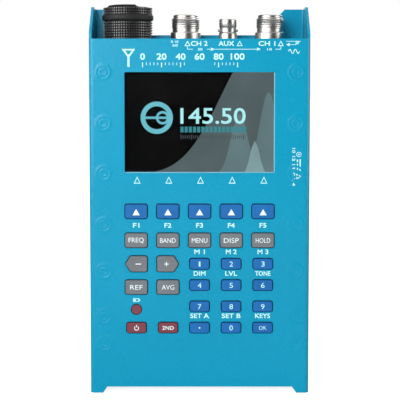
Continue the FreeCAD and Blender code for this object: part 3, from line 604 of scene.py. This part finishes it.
keySlots = {name: "key_blue" for name in nodes
            if name.startswith(("key_", "soft_key_")) and name not in ("key_mat", "key_board")}
keySlots.update(dict.fromkeys(("key_power", "key_shift"), "key_red"))
keySlots.update(dict.fromkeys(("key_center", "key_span", "key_mode", "key_function", "key_run",
                               "key_minus", "key_plus", "key_marker", "key_amplitude"),
                              "key_grey"))
keyColours = {"key_blue": keyBlue, "key_grey": keyGrey, "key_red": keyRed}
finishes = {name: finish for finish, names in (
    (paint, "front_shell rear_cover top_panel bottom_panel"), (lens, "window_lens"),
    (nickel, "panel_nuts af_jack port_1_jack port_2_jack"), (displayBlack, "display_module"),
    (screwSteel, "side_screws clinch_hardware board_screws"), (tinPlate, "shield_can usb_socket"),
    (blackPlastic, "beeper encoder_body dc_jack"), (board, "key_board main_board"),
    (bareAluminium, "display_bracket encoder_shaft"), (matSilicone, "key_mat"),
    (copper, "rf_cables"), (cellWrap, "battery_pack"), (film, "flat_cable"),
    (bead, "jack_insulators"), (gold, "jack_contacts"), (knobBlackAndGrooveShade, "knob"),
    (ringRubber, "knob_ring"), (footRubber, "rear_feet"), (keyRed, "status_light"),
) for name in names.split()}
finishes.update((name, keyColours[slot]) for name, slot in keySlots.items())
for name, finish in finishes.items():
    painted(nodes[name].data, finish)
for name in ("front_shell", "rear_cover", "top_panel", "bottom_panel", "side_screws",
             "status_light", "dc_jack", "usb_socket", "jack_insulators", "jack_contacts",
             *keySlots):
    dressed(name, finishes[name])
print("frame dressed")


# tuning knob

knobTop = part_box("knob")[1].z / mm
knobAxis = axisOf("knob", 0)
ringSpan = [corner.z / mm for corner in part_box("knob_ring")]
knobSizes = {"bottom": 193.0, "top": knobTop, "shoulder": knobTop - 1.8, "core": 12.9,
             "seat": 12.5, "capRadius": 11.7, "domeRadius": 7.7, "domeFall": 0.45,
             "domeSteps": 8, "skirt": 9.0, "skirtDepth": 6.0, "shaft": 3.1, "shaftEnd": 4.0}
restSizes = {"level": knobTop - 1.3, "reach": 6.9, "curve": 3.0, "end": 20.0, "tall": 4.0,
             "halfWidth": 16.0}
padSizes = {"width": 1.04, "height": 1.02, "depth": 0.8, "sunk": 0.1,
            "steps": ((0.7, 0.88), (1.0, 0.70))}
knurls = {"columns": 60, "bands": {
    "knurl_above": {"Rows": 3, "Base": ringSpan[1] + 0.42, "Row Pitch": 1.38},
    "knurl_below": {"Rows": 9, "Base": ringSpan[0] - 0.98 - 8 * 1.42, "Row Pitch": 1.42}}}
ringSizes = {"low": ringSpan[0], "high": ringSpan[1], "radius": 14.25, "corner": 1.2,
             "flutes": 48, "fluteDepth": 0.035, "fluteStart": 13.4}


def makeKnurlTree():
    # rows of pads standing round a cylinder, one pad per column and row
    tree, given = newTree("knurl", {"Pad": "Object", "Finish": "Material", "Columns": "Int",
                                    "Rows": "Int", "Radius": "Float", "Base": "Float",
                                    "Row Pitch": "Float"})
    index = tree.nodes.new("GeometryNodeInputIndex").outputs[0]
    row = maths(tree, "FLOOR", maths(tree, "DIVIDE", index, given["Columns"]))
    turn = maths(tree, "MULTIPLY", index, maths(tree, "DIVIDE", tau, given["Columns"]))
    height = maths(tree, "MULTIPLY_ADD", row, given["Row Pitch"], given["Base"])
    spot = output(tree, "ShaderNodeCombineXYZ", {"X": given["Radius"], "Z": height})
    around = output(tree, "ShaderNodeVectorRotate", {"Vector": spot, "Angle": turn},
                    rotation_type="Z_AXIS")
    count = maths(tree, "MULTIPLY", given["Columns"], given["Rows"])
    points = output(tree, "GeometryNodePoints", {"Count": count, "Position": around})
    face = output(tree, "ShaderNodeCombineXYZ", {"Z": turn})
    facing = output(tree, "FunctionNodeEulerToRotation", {"Euler": face})
    pads = output(tree, "GeometryNodeInstanceOnPoints",
                  {"Points": points, "Instance": shapeOf(tree, given["Pad"]),
                   "Rotation": facing})
    return endTree(tree, given, pads)


def knurlPad():
    # a pad with sloping sides that faces +X
    p, loops = padSizes, []
    for x, share in [(-p["sunk"], 1.0)] + [(p["depth"] * out, share) for out, share in p["steps"]]:
        y, z = p["width"] / 2 * share, p["height"] / 2 * share
        loops.append([(x * mm, a * y * mm, b * z * mm)
                      for a, b in ((-1, -1), (1, -1), (1, 1), (-1, 1))])
    return lofted("knurl pad", loops)


def restTool():
    # the shape taken off the cap for the finger rest: a hollow that runs down to a flat
    r = restSizes
    outline = [(r["reach"] - r["curve"] * sin(a), r["level"] + r["curve"] * (1 - cos(a)))
               for a in (radians(d) for d in range(72, -1, -6))]
    roof = r["level"] + r["tall"]
    outline += [(r["end"], r["level"]), (r["end"], roof), (outline[0][0], roof)]
    return lofted("rest tool", [[knobAxis + Vector((x, y, z)) * mm for x, z in outline]
                                for y in (-r["halfWidth"], r["halfWidth"])])


def addKnobCore():
    k, ring = knobSizes, ringSizes
    top, bottom, core = k["top"], k["bottom"], k["core"]
    edge = k["capRadius"] - 1.0
    cap = [(0.0, top), (2.6, top), (5.2, top), (k["domeRadius"], top)]
    for share in (n / k["domeSteps"] for n in range(1, k["domeSteps"] + 1)):
        cap.append((k["domeRadius"] + (edge - k["domeRadius"]) * share,
                    top - k["domeFall"] * share ** 1.6))
    cap += [(k["capRadius"], k["shoulder"]), (core - 0.2, k["shoulder"]),
            (core, k["shoulder"] - 0.25), (core, ring["high"] - 0.6),
            (k["seat"], ring["high"] - 0.8), (k["seat"], ring["low"] + 0.8),
            (core, ring["low"] + 0.6), (core, bottom + 0.3), (core - 0.3, bottom),
            (k["skirt"] + 0.2, bottom), (k["skirt"], bottom + 0.2),
            (k["skirt"], bottom + k["skirtDepth"]), (k["shaft"], bottom + k["skirtDepth"]),
            (k["shaft"], top - k["shaftEnd"]), (0.0, top - k["shaftEnd"])]
    mesh = softened(cutAway(turned("knob body", cap, 144, knobAxis), restTool()), 0.12)
    addPiece("knob_core", flatKept(mesh), knobBlackAndGrooveShade, "tuning_knob", stands=("knob",))


def addKnurls():
    tree, pad = makeKnurlTree(), addObject("knurl_pattern", knurlPad())
    for name, band in knurls["bands"].items():
        # the pads take the lighter plastic that paints their highlight
        values = {"Pad": pad, "Finish": knobPadsHighlight, "Columns": knurls["columns"],
                  "Rows": band["Rows"], "Radius": knobSizes["core"] * mm,
                  "Base": band["Base"] * mm, "Row Pitch": band["Row Pitch"] * mm}
        made = grown(name, tree, meshFrom(name + "_seed", []), values, "tuning_knob")
        made.data.transform(Matrix.Translation(knobAxis))
    bpy.data.objects.remove(pad)


def addGripRing():
    # a rubber band with faint upright flutes that aren't quite even
    r, seat = ringSizes, knobSizes["seat"]
    corner = [(r["radius"] - r["corner"] + r["corner"] * cos(a),
               r["low"] + r["corner"] + r["corner"] * sin(a))
              for a in (radians(d) for d in range(-90, 1, 15))]
    corner += [(radius, r["high"] + r["low"] - z) for radius, z in reversed(corner)]
    mesh = turned("ring", [(seat, r["low"])] + corner + [(seat, r["high"])], 288, knobAxis)
    for vertex in mesh.vertices:
        arm = vertex.co - knobAxis
        turn = atan2(arm.y, arm.x)
        uneven = 0.6 + 0.4 * sin(5 * turn + 1)
        if arm.xy.length > r["fluteStart"] * mm:
            reach = sin(r["flutes"] * turn) * uneven * r["fluteDepth"] * mm
            vertex.co += Vector((cos(turn), sin(turn), 0)) * reach

    def closed(shape):
        # joins the first and last rings along the seat
        rims = [edge for edge in shape.edges if edge.is_boundary]
        bmesh.ops.bridge_loops(shape, edges=rims)
        bmesh.ops.recalc_face_normals(shape, faces=shape.faces)
    addPiece("grip_ring", smoothed(meshOf("ring closed", closed, [mesh])), ringRubber,
             "tuning_knob", stands=("knob_ring",))


addKnobCore()
addKnurls()
addGripRing()
print("knob made")


# coaxial jacks; their heights count from the top edge of the front

jackStem = {"radius": 5.7, "foot": -5.0, "end": -14.5}
boreDepth = 9.0


def jackBody(node, outline, bore, tip, soft):
    # a turned jack on its stem, with a blind bore from its tip
    s = jackStem
    profile = [(0.0, s["end"]), (s["radius"], s["end"]), (s["radius"], s["foot"]), *outline,
               (bore, tip - boreDepth), (0.0, tip - boreDepth)]
    return turned(node + " body", profile, 96, axisOf(node, plateTop), soft)


portSizes = {"collar": 8.45, "collarTop": 4.0, "neck": 7.4, "threadStart": 6.0, "crest": 7.94,
             "threadDepth": 0.6, "pitch": 1.058, "turns": 5, "ridge": 0.53, "lead": 6.85,
             "tip": 13.6, "bore": 4.25}


def makeThreadTree():
    # a helical thread ridge: a flattened rod swept along a spiral, thin at both ends
    tree, given = newTree("thread", {"Finish": "Material", "Radius": "Float", "Ridge": "Float",
                                     "Pitch": "Float", "Turns": "Float", "Place": "Vector"})
    rise = maths(tree, "MULTIPLY", given["Pitch"], given["Turns"])
    spiral = output(tree, "GeometryNodeCurveSpiral",
                    {"Resolution": 56, "Rotations": given["Turns"], "Height": rise,
                     "Start Radius": given["Radius"], "End Radius": given["Radius"]})
    along = tree.nodes.new("GeometryNodeSplineParameter").outputs["Factor"]
    size = maths(tree, "MULTIPLY", remap(tree, along, 0.15, 1.0, 0.0, 0.03),
                 remap(tree, along, 1.0, 0.15, 0.97, 1.0))
    tapered = output(tree, "GeometryNodeSetCurveRadius", {"Curve": spiral, "Radius": size})
    rod = output(tree, "GeometryNodeCurvePrimitiveCircle", {"Resolution": 8, "Radius": given["Ridge"]})
    flat = output(tree, "GeometryNodeTransform", {"Geometry": rod, "Scale": (0.62, 1.0, 1.0)})
    swept = output(tree, "GeometryNodeCurveToMesh",
                   {"Curve": tapered, "Profile Curve": flat, "Fill Caps": True})
    placed = output(tree, "GeometryNodeTransform",
                    {"Geometry": swept, "Translation": given["Place"],
                     "Rotation": (0, 0, radians(90))})
    return endTree(tree, given, placed)


def addPort(name):
    p, node = portSizes, name + "_jack"
    root = p["crest"] - p["threadDepth"]
    start, tip, bore = p["threadStart"], p["tip"], p["bore"]
    threadTop = start + p["pitch"] * p["turns"]
    outline = [(p["collar"], jackStem["foot"]), (p["collar"], p["collarTop"] - 0.35),
               (p["collar"] - 0.35, p["collarTop"]), (p["neck"], p["collarTop"] + 0.1),
               (p["neck"], start - 0.4), (root, start - 0.2), (root, threadTop + 0.4),
               (p["lead"], threadTop + 0.75), (p["lead"], tip - 0.55), (p["lead"] - 0.45, tip),
               (bore + 0.55, tip), (bore + 0.1, tip - 0.5), (bore, tip - 0.9)]
    addPiece(name + "_shell", jackBody(node, outline, bore, tip, 0.10), nickel, "case", stands=(node,))
    place = axisOf(node, plateTop) + Vector((0, 0, (start + 0.1) * mm))
    values = {"Finish": nickel, "Radius": (root + 0.06) * mm, "Ridge": p["ridge"] * mm,
              "Pitch": p["pitch"] * mm, "Turns": float(p["turns"]), "Place": tuple(place)}
    grown(name + "_thread", threadTree, meshFrom(name + "_seed", []), values, "case")


bncSizes = {"flange": 7.3, "flangeTop": -3.5, "collar": 5.15, "collarTop": 3.9, "neck": 4.6,
            "barrel": 4.85, "barrelStart": 7.2, "tip": 11.3, "bore": 4.05, "lugHeight": 5.0,
            "lugRadius": 0.75, "lugStart": 4.3, "lugReach": 5.6}


def addBnc():
    b = bncSizes
    neck, barrel, bore, tip = b["neck"], b["barrel"], b["bore"], b["tip"]
    outline = [(b["flange"], jackStem["foot"]), (b["flange"], b["flangeTop"]),
               (b["flange"] - 0.3, b["flangeTop"] + 0.3), (b["collar"], b["flangeTop"] + 0.4),
               (b["collar"], b["collarTop"] - 1.2), (b["collar"] - 0.15, b["collarTop"] - 0.3),
               (neck + 0.1, b["collarTop"] + 0.05), (neck, b["collarTop"] + 0.3),
               (neck, b["barrelStart"] - 0.7), (neck + 0.12, b["barrelStart"] - 0.3),
               (barrel, b["barrelStart"]), (barrel, tip - 0.35), (barrel - 0.3, tip),
               (bore + 0.25, tip), (bore, tip - 0.4)]
    parts = [jackBody("af_jack", outline, bore, tip, 0.08)]
    radius, length = b["lugRadius"], b["lugReach"] - b["lugStart"]
    lug = [(0, 0), (radius, 0), (radius, length - 0.2), (radius - 0.2, length), (0, length)]
    for side in (-1, 1):
        mesh = turned("lug", lug, 28)
        start = axisOf("af_jack", plateTop) + Vector((side * b["lugStart"], 0, b["lugHeight"])) * mm
        mesh.transform(Matrix.Translation(start) @ Matrix.Rotation(radians(90 * side), 4, "Y"))
        parts.append(mesh)
    addPiece("bnc_shell", smoothed(meshOf("bnc and lugs", parts=parts)), nickel, "case",
             stands=("af_jack",))


threadTree = makeThreadTree()
addPort("port_1")
addPort("port_2")
addBnc()
print("jacks made")


# small relief and feet

studs = {"side": 52.95, "drops": (18.3, 46.3, 73.7, 102.2, 128.2, 153.5, 168.7),
         "profile": ((0.0, 0.020), (1.1, 0.020), (1.25, 0.030), (1.65, 0.110), (1.8, 0.120),
                     (1.95, 0.110), (2.4, 0.035), (2.55, 0.025), (2.9, 0.025), (3.05, 0.035),
                     (3.5, 0.135), (3.65, 0.145), (3.8, 0.135), (5.1, 0.006), (5.3, -0.01))}


def addStudMarks():
    # faint rings that the pressed-in studs leave in the front plate, under the paint
    mesh = turned("stud mark", studs["profile"], 48)
    mesh.transform(Matrix.Rotation(radians(90), 4, "X"))
    points = [Vector((side * studs["side"] * mm, plateFront, plateTop - drop * mm))
              for side in (-1, 1) for drop in studs["drops"]]
    scattered("stud_marks", points, smoothed(mesh, 80), flatPaint)


feet = {"side": 48.25, "heights": (22.0, 178.0), "tall": 2.5,
        "profile": ((0.0, -0.02), (5.0, -0.02), (5.0, 1.5), (4.85, 2.05), (4.5, 2.35), (4.0, 2.5),
                    (2.2, 2.5), (1.9, 2.35), (0.0, 2.3))}


def addFeet():
    mesh = turned("foot", feet["profile"], 40, soft=0.08)
    mesh.transform(Matrix.Rotation(radians(-90), 4, "X"))
    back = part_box("rear_feet")[1].y - feet["tall"] * mm
    points = [Vector((side * feet["side"] * mm, back, z * mm))
              for side in (-1, 1) for z in feet["heights"]]
    scattered("rear_pads", points, mesh, footRubber, stands=("rear_feet",))


# where the painted highlight strip of the window opening lies
windowHighlightStrip = {"side": 41.25, "top": 18.3, "bottom": 73.5, "width": 0.42, "near": 0.06, "far": 0.48}


def addLensEdge():
    # a pale strip that shows at the right and the bottom of the window's opening: a painted highlight
    # where the light falls on the opening's edge
    rim = windowHighlightStrip
    side, width = rim["side"] * mm, rim["width"] * mm
    near, far = (plateFront + rim[key] * mm for key in ("near", "far"))
    top, bottom = (plateTop - rim[key] * mm for key in ("top", "bottom"))
    loops = [[(x, near, z), (x, far, z), (x + acrossX, far, z + acrossZ)]
             for x, z, acrossX, acrossZ in ((side, top, -width, 0), (side, bottom, -width, width),
                                            (-side, bottom, 0, width))]
    addPiece("window_edge", lofted("window edge", loops), windowEdgeHighlight, "case")


addStudMarks()
addLensEdge()
addFeet()
print("relief and feet made")


# prints, in millimetres from the middle of the front and its top edge

inkDepth = 0.012
groupStep = 0.0006
signStep = 0.001
inkGap = 0.007 * mm
capitalShare = 0.73


def drawn(outlines, depth=inkDepth):
    # closed outlines in millimetres; an outline inside another is a hole
    curve = bpy.data.curves.new("outline", "CURVE")
    curve.dimensions = "2D"
    curve.fill_mode = "BOTH"
    curve.extrude = depth * mm
    for outline in outlines:
        spline = curve.splines.new("POLY")
        spline.points.add(len(outline) - 1)
        for point, (x, z) in zip(spline.points, outline):
            point.co = (x * mm, z * mm, 0, 1)
        spline.use_cyclic_u = True
    return plainMesh(addObject("drawn", curve), "drawn")


def struck(mesh, shiftX, shiftZ, depth, high):
    # a flat mesh made solid, from depth under its plane to high above it, and moved a little
    def build(shape):
        front = bmesh.ops.extrude_face_region(shape, geom=shape.faces[:])
        lifted = [item for item in front["geom"] if isinstance(item, bmesh.types.BMVert)]
        bmesh.ops.translate(shape, verts=lifted, vec=(0, 0, (depth + high) * mm))
        bmesh.ops.translate(shape, verts=shape.verts, vec=(shiftX * mm, shiftZ * mm, -depth * mm))
        bmesh.ops.recalc_face_normals(shape, faces=shape.faces)
    return meshOf("strike", build, [mesh])


def words(text, height, width, weight=0.0, depth=inkDepth):
    # capitals of a given height and width, centred on the origin; weight thickens their strokes
    # by striking them four times
    curve = bpy.data.curves.new("words", "FONT")
    curve.body = text
    curve.align_x = "CENTER"
    curve.align_y = "CENTER"
    curve.resolution_u = 3
    mesh = plainMesh(addObject("words", curve), "words")
    xs, ys = [v.co.x for v in mesh.vertices], [v.co.y for v in mesh.vertices]
    rise = (height - weight) * mm / capitalShare
    stretch = (width - weight) * mm / (max(xs) - min(xs))
    middle = Vector(((min(xs) + max(xs)) / 2, (min(ys) + max(ys)) / 2, 0))
    mesh.transform(Matrix.Diagonal((stretch, rise, 1, 1)) @ Matrix.Translation(-middle))
    half = weight / 2
    shifts = [(x, z) for z in (-half, half) for x in (-half, half)] if weight else [(0, 0)]
    return meshOf("words", parts=[struck(mesh, x, z, depth, depth * (1 + 0.12 * number))
                                  for number, (x, z) in enumerate(shifts)])


def line(points, width):
    # a stroke along points, as a closed outline with square corners
    left, right = [], []
    for n, (x, z) in enumerate(points):
        before, after = points[max(n - 1, 0)], points[min(n + 1, len(points) - 1)]
        a, b = Vector((x - before[0], z - before[1])), Vector((after[0] - x, after[1] - z))
        a = a.normalized() if a.length else b.normalized()
        b = b.normalized() if b.length else a
        across = Vector((-(a + b).y, (a + b).x)).normalized()
        reach = width / 2 / max(0.35, across.dot(Vector((-a.y, a.x))))
        left.append((x + across.x * reach, z + across.y * reach))
        right.append((x - across.x * reach, z - across.y * reach))
    return left + right[::-1]


def circle(x, z, radius, steps):
    return [(x + radius * cos(turn), z + radius * sin(turn))
            for turn in (tau * n / steps for n in range(steps))]


def hoop(x, z, radius, width, steps):
    return [circle(x, z, radius + side * width / 2, steps) for side in (1, -1)]


def box(x, z, width, height):
    return [(x + a * width / 2, z + b * height / 2) for a, b in ((-1, -1), (1, -1), (1, 1), (-1, 1))]


def triangle(x, z, width, height, turn=0.0):
    spin = Matrix.Rotation(radians(turn), 2)
    corners = [spin @ Vector((a * width / 2, b * height / 2)) for a, b in ((-1, -1), (1, -1), (0, 1))]
    return [(x + corner.x, z + corner.y) for corner in corners]


def hollowTriangle(x, z, width, height, stroke, turn=0.0):
    inner = 1 - stroke * 2.9 / height
    drop = -height * 0.5 + stroke + height * inner / 2
    shift = Matrix.Rotation(radians(turn), 2) @ Vector((0, drop))
    return [triangle(x, z, width, height, turn),
            triangle(x + shift.x, z + shift.y, width * inner, height * inner, turn)]


def onFront(mesh, x, drop, y, turn=0.0):
    # stands a flat mesh up on the front, x from the middle and drop below its top edge
    spot = Vector((x * mm, y, plateTop - drop * mm))
    mesh.transform(Matrix.Translation(spot) @ Matrix.Rotation(radians(-turn), 4, "Y")
                   @ Matrix.Rotation(radians(90), 4, "X"))
    return mesh


inkFace = plateFront - inkGap
keyPitch = 17.5
jackNames = {"drop": 2.7, "height": 2.75, "weight": 0.14,
             "texts": (("CH 2", -0.2, 9.2), ("AUX", 14.6, 8.6), ("CH 1", 36.8, 9.2)),
             "pointers": (-6.6, 21.9, 44.4)}
smallTexts = (("0 10", -13.6, 1.7, 1.35, 4.0, 0.07), ("50", -13.4, 3.7, 1.35, 3.0, 0.07),
              ("20", 0.3, 5.85, 1.3, 2.6, 0.07), ("10", 38.2, 5.85, 1.3, 2.6, 0.07))
pathLines = {"width": 0.3, "strokes": (((-6.6, -4.3), (-6.6, -5.8), (-3.6, -5.8)),
                                       ((4.1, -5.8), (31.5, -5.8)),
                                       ((41.4, -5.8), (44.4, -5.8), (44.4, -4.3)))}
scale = {"left": -31.2, "drop": 9.8, "height": 3.7, "weight": 0.22, "pitch": 10.4,
         "widths": (2.6, 5.4, 5.4, 5.4, 5.4, 7.6), "tickTop": -13.0, "ticks": 26, "gap": (12, 18)}
captions = {"height": 2.75, "weight": 0.14, "rows": (
    (102.6, -2, (("F1", 3.6), ("F2", 3.8), ("F3", 3.8), ("F4", 3.8), ("F5", 3.8))),
    (117.3, 0, (("M 1", 5.8), ("M 2", 6.0), ("M 3", 6.0))),
    (129.4, 0, (("DIM", 6.6), ("LVL", 6.6), ("TONE", 8.6))),
    (153.1, 0, (("SET A", 10.4), ("SET B", 10.4), ("KEYS", 8.4))))}
inlet = {"x": 54.6, "textX": 51.8, "lift": 0.060 * mm, "textHeight": 1.7, "weight": 0.1,
         "texts": (("10 12 14", 65.7, 11.6), ("0 2 4", 77.1, 7.2))}


def plateShapes():
    # top row: a pointer beside each jack's name, with the path between the two ports
    groups = [hollowTriangle(x, -2.6, 3.3, 3.0, 0.42) for x in jackNames["pointers"]]
    groups += [[line(points, pathLines["width"])] for points in pathLines["strokes"]]
    groups += [[triangle(7.2, -5.8, 1.9, 2.0, -90)], [triangle(32.4, -5.8, 1.9, 2.0, -90)]]
    # beside the first port: a coupler sign, and a short wave under it
    groups += [[line([(47.4, -1.5), (55.2, -1.5)], 0.3)],
               [line([(48.6, -3.3), (52.4, -3.3), (54.0, -1.5)], 0.3)],
               hoop(53.4, -2.2, 0.75, 0.35, 16), [triangle(48.2, -3.3, 1.9, 1.9, 90)]]
    wave = [(48.6 + n * 0.5, -7.0 + 1.2 * sin(n * tau / 6)) for n in range(13)]
    groups.append([line(wave, 0.42)])
    # scale with an aerial sign before it
    groups += [hollowTriangle(-38.9, -8.2, 7.4, 5.2, 0.85, 180), [box(-38.9, -12.0, 1.15, 6.8)]]
    ticks = []
    for n in range(scale["ticks"]):
        width, tall = (0.5, 2.6) if n % 5 == 0 else (0.34, 1.5)
        if n < scale["gap"][0] or n > scale["gap"][1]:
            ticks.append(box(scale["left"] + scale["pitch"] / 5 * n, scale["tickTop"] - tall / 2,
                             width, tall))
    groups.append(ticks)
    # pointers under the window, one for each soft key
    groups += [hollowTriangle(-34.4 + 17.46 * n, -77.5, 3.8, 3.9, 0.43) for n in range(5)]
    # a cell above the lamp
    groups += [[box(-35.2, -144.3, 3.4, 2.0), box(-35.2, -144.3, 2.6, 1.2)],
               [box(-33.2, -144.3, 0.5, 0.9)], [box(-35.9, -144.3, 0.9, 0.9)]]
    return groups


def plateTexts():
    # as (text, x, drop, height, width, weight)
    texts = [(text, x, jackNames["drop"], jackNames["height"], width, jackNames["weight"])
             for text, x, width in jackNames["texts"]]
    texts += smallTexts
    texts += [(str(n * 20), scale["left"] + scale["pitch"] * n, scale["drop"], scale["height"],
               width, scale["weight"]) for n, width in enumerate(scale["widths"])]
    for drop, first, row in captions["rows"]:
        texts += [(text, keyPitch * (first + n), drop, captions["height"], width,
                   captions["weight"]) for n, (text, width) in enumerate(row)]
    return texts


def inletPrints():
    # power inlet at the right: polarity, direct current and a pointer to the side
    x, face = inlet["x"], inkFace - inlet["lift"]
    current = [box(x + 0.75, -69.2, 0.7, 6.4)]
    current += [box(x - 0.75, -69.2 + n * 2.3, 0.7, 1.5) for n in (-1, 0, 1)]
    groups = (hoop(x, -63.4, 1.25, 0.32, 20), [circle(x, -63.4, 0.45, 12)], current,
              hollowTriangle(x + 0.2, -75.6, 3.2, 3.0, 0.42, -90))
    meshes = [onFront(drawn(group), 0, 0, face) for group in groups]
    for text, drop, width in inlet["texts"]:
        meshes.append(onFront(words(text, inlet["textHeight"], width, inlet["weight"]),
                              inlet["textX"], drop, face, turn=-90))
    return meshes


def addPlatePrints():
    # each group a little thicker than the last, so that no two faces coincide where they cross
    meshes = [onFront(drawn(group, inkDepth + groupStep * n), 0, 0, inkFace)
              for n, group in enumerate(plateShapes())]
    meshes += [onFront(words(text, height, width, weight), x, drop, inkFace)
               for text, x, drop, height, width, weight in plateTexts()]
    addPiece("plate_prints", meshOf("plate_prints", parts=meshes + inletPrints()), paleInk,
             "case")


signColumns = {"key_minus": -35.0, "key_plus": -17.5}
keyWords = (("key_center", "FREQ", 8.4), ("key_span", "BAND", 8.6), ("key_mode", "MENU", 8.6),
            ("key_function", "DISP", 8.2), ("key_run", "HOLD", 8.0), ("key_marker", "REF", 7.0),
            ("key_amplitude", "AVG", 7.0))


def addSign(key, shapes=(), text=None):
    # a key's own sign, on its front face
    low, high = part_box(key)
    middle = (low + high) / 2
    meshes = [drawn([shape], inkDepth + signStep * n) for n, shape in enumerate(shapes)]
    if text:
        meshes.append(words(*text))
    for mesh in meshes:
        onFront(mesh, signColumns.get(key, middle.x / mm), (plateTop - middle.z) / mm, low.y - inkGap)
    ink = paleInk if text and keySlots[key] == "key_blue" else whiteInk
    addPiece(key + "_sign", meshOf(key + "_sign", parts=meshes), ink, key + "_cap")


def addKeySigns():
    for n in range(5):
        addSign(f"soft_key_{n + 1}", [triangle(0, -0.35, 4.0, 3.4)])
    for key, word, width in keyWords:
        addSign(key, text=(word, 2.75, width))
    addSign("key_minus", [box(1.15, 0.0, 3.1, 0.55)])
    addSign("key_plus", [box(-0.85, 0, 2.5, 0.46), box(-0.85, 0.74, 0.46, 1.02),
                         box(-0.85, -0.74, 0.46, 1.02)])
    for digit in range(10):
        addSign(f"key_{digit}", text=(str(digit), 3.0, 0.9 if digit == 1 else 2.0))
    addSign("key_point", [circle(0, 0, 0.42, 14)])
    arc = [(1.15 * cos(turn), -0.15 + 1.15 * sin(turn))
           for turn in (radians(angle) for angle in range(125, 416, 15))]
    addSign("key_power", [line(arc, 0.42), box(0, 1.0, 0.42, 1.5)])
    addSign("key_shift", text=("2ND", 2.2, 6.4, 0.08))
    addSign("key_enter", text=("OK", 2.3, 4.2))


addPlatePrints()
addKeySigns()
print("prints made")


# display picture, in millimetres from the middle of the display

screen = {"middle": 150.6, "width": 86.0, "height": 58.0, "face": plateFront + 2.985 * mm,
          "layer": 0.012, "depth": 0.002, "hillSteps": 48}
chart = {"x": -23.6, "z": 2.6, "radius": 7.6}
glowBack = glowMaterial("screen slate", (0.085, 0.118, 0.125))
glowMiddle = glowMaterial("screen grey teal", (0.120, 0.190, 0.205))
glowFront = glowMaterial("screen pale teal", (0.210, 0.330, 0.350))
glowCyan = glowMaterial("screen cyan", (0.150, 0.520, 0.610), 0.04)
glowPale = glowMaterial("screen pale cyan", (0.420, 0.860, 0.880), 0.04)
glowTeal = glowMaterial("screen teal", (0.045, 0.250, 0.290), 0.05)
glowDim = glowMaterial("screen dim grey", (0.070, 0.085, 0.090), 0.05)


def onScreen(name, mesh, material, layer, x=0.0, z=0.0):
    onFront(mesh, x, plateTop / mm - screen["middle"] - z,
            screen["face"] - layer * screen["layer"] * mm)
    addPiece("screen_" + name, mesh, material, "case")


def hill(centre, width, height):
    # a bell curve standing on the lower edge, cut off at the sides and the top
    reach, floor, steps = screen["width"] / 2, -screen["height"] / 2, screen["hillSteps"]
    roof = -floor - 0.1
    points = [(-reach, floor - 0.1)]
    for n in range(steps + 1):
        x = -reach + 2 * reach * n / steps
        z = floor + height * exp(-((x - centre) / width) ** 2)
        points.append((x, min(max(z, floor), roof)))
    return points + [(reach, floor - 0.1)]


def addScreen():
    x, z, radius = chart["x"], chart["z"], chart["radius"]
    # hills, and a reflection chart of circles that touch at the right
    for name, shapes, material, layer in (
            ("hills_back", [hill(33.0, 30.0, 72.0)], glowBack, 1),
            ("hills_middle", [hill(22.0, 6.5, 34.0)], glowMiddle, 2),
            ("hills_side", [hill(38.0, 7.0, 46.0)], glowMiddle, 3),
            ("hills_front", [hill(30.5, 3.6, 19.0)], glowFront, 4),
            ("chart", hoop(x, z, radius, 2.6, 48), glowCyan, 2),
            ("chart_inner", hoop(x + radius * 0.42, z, radius * 0.40, 1.3, 32), glowCyan, 3),
            ("chart_axis", [box(x, z, 2 * radius, 1.3)], glowCyan, 4)):
        onScreen(name, drawn(shapes, screen["depth"]), material, layer)
    # a number with a level under it
    onScreen("number", words("145.50", 9.2, 36.0, 0.3, screen["depth"]), glowPale, 5, 7.4, 3.6)
    bars = [box(-9.7 + 2.3 * n, -3.9, 1.7, 3.2) for n in range(16)]
    onScreen("level", drawn(bars, screen["depth"]), glowTeal, 5)
    ticks = [box(-10.2 + 1.15 * n, -8.0, 0.5, 2.8 if n % 5 == 0 else 1.7) for n in range(31)]
    onScreen("ticks", drawn(ticks, screen["depth"]), glowDim, 5)


addScreen()
print("screen made")
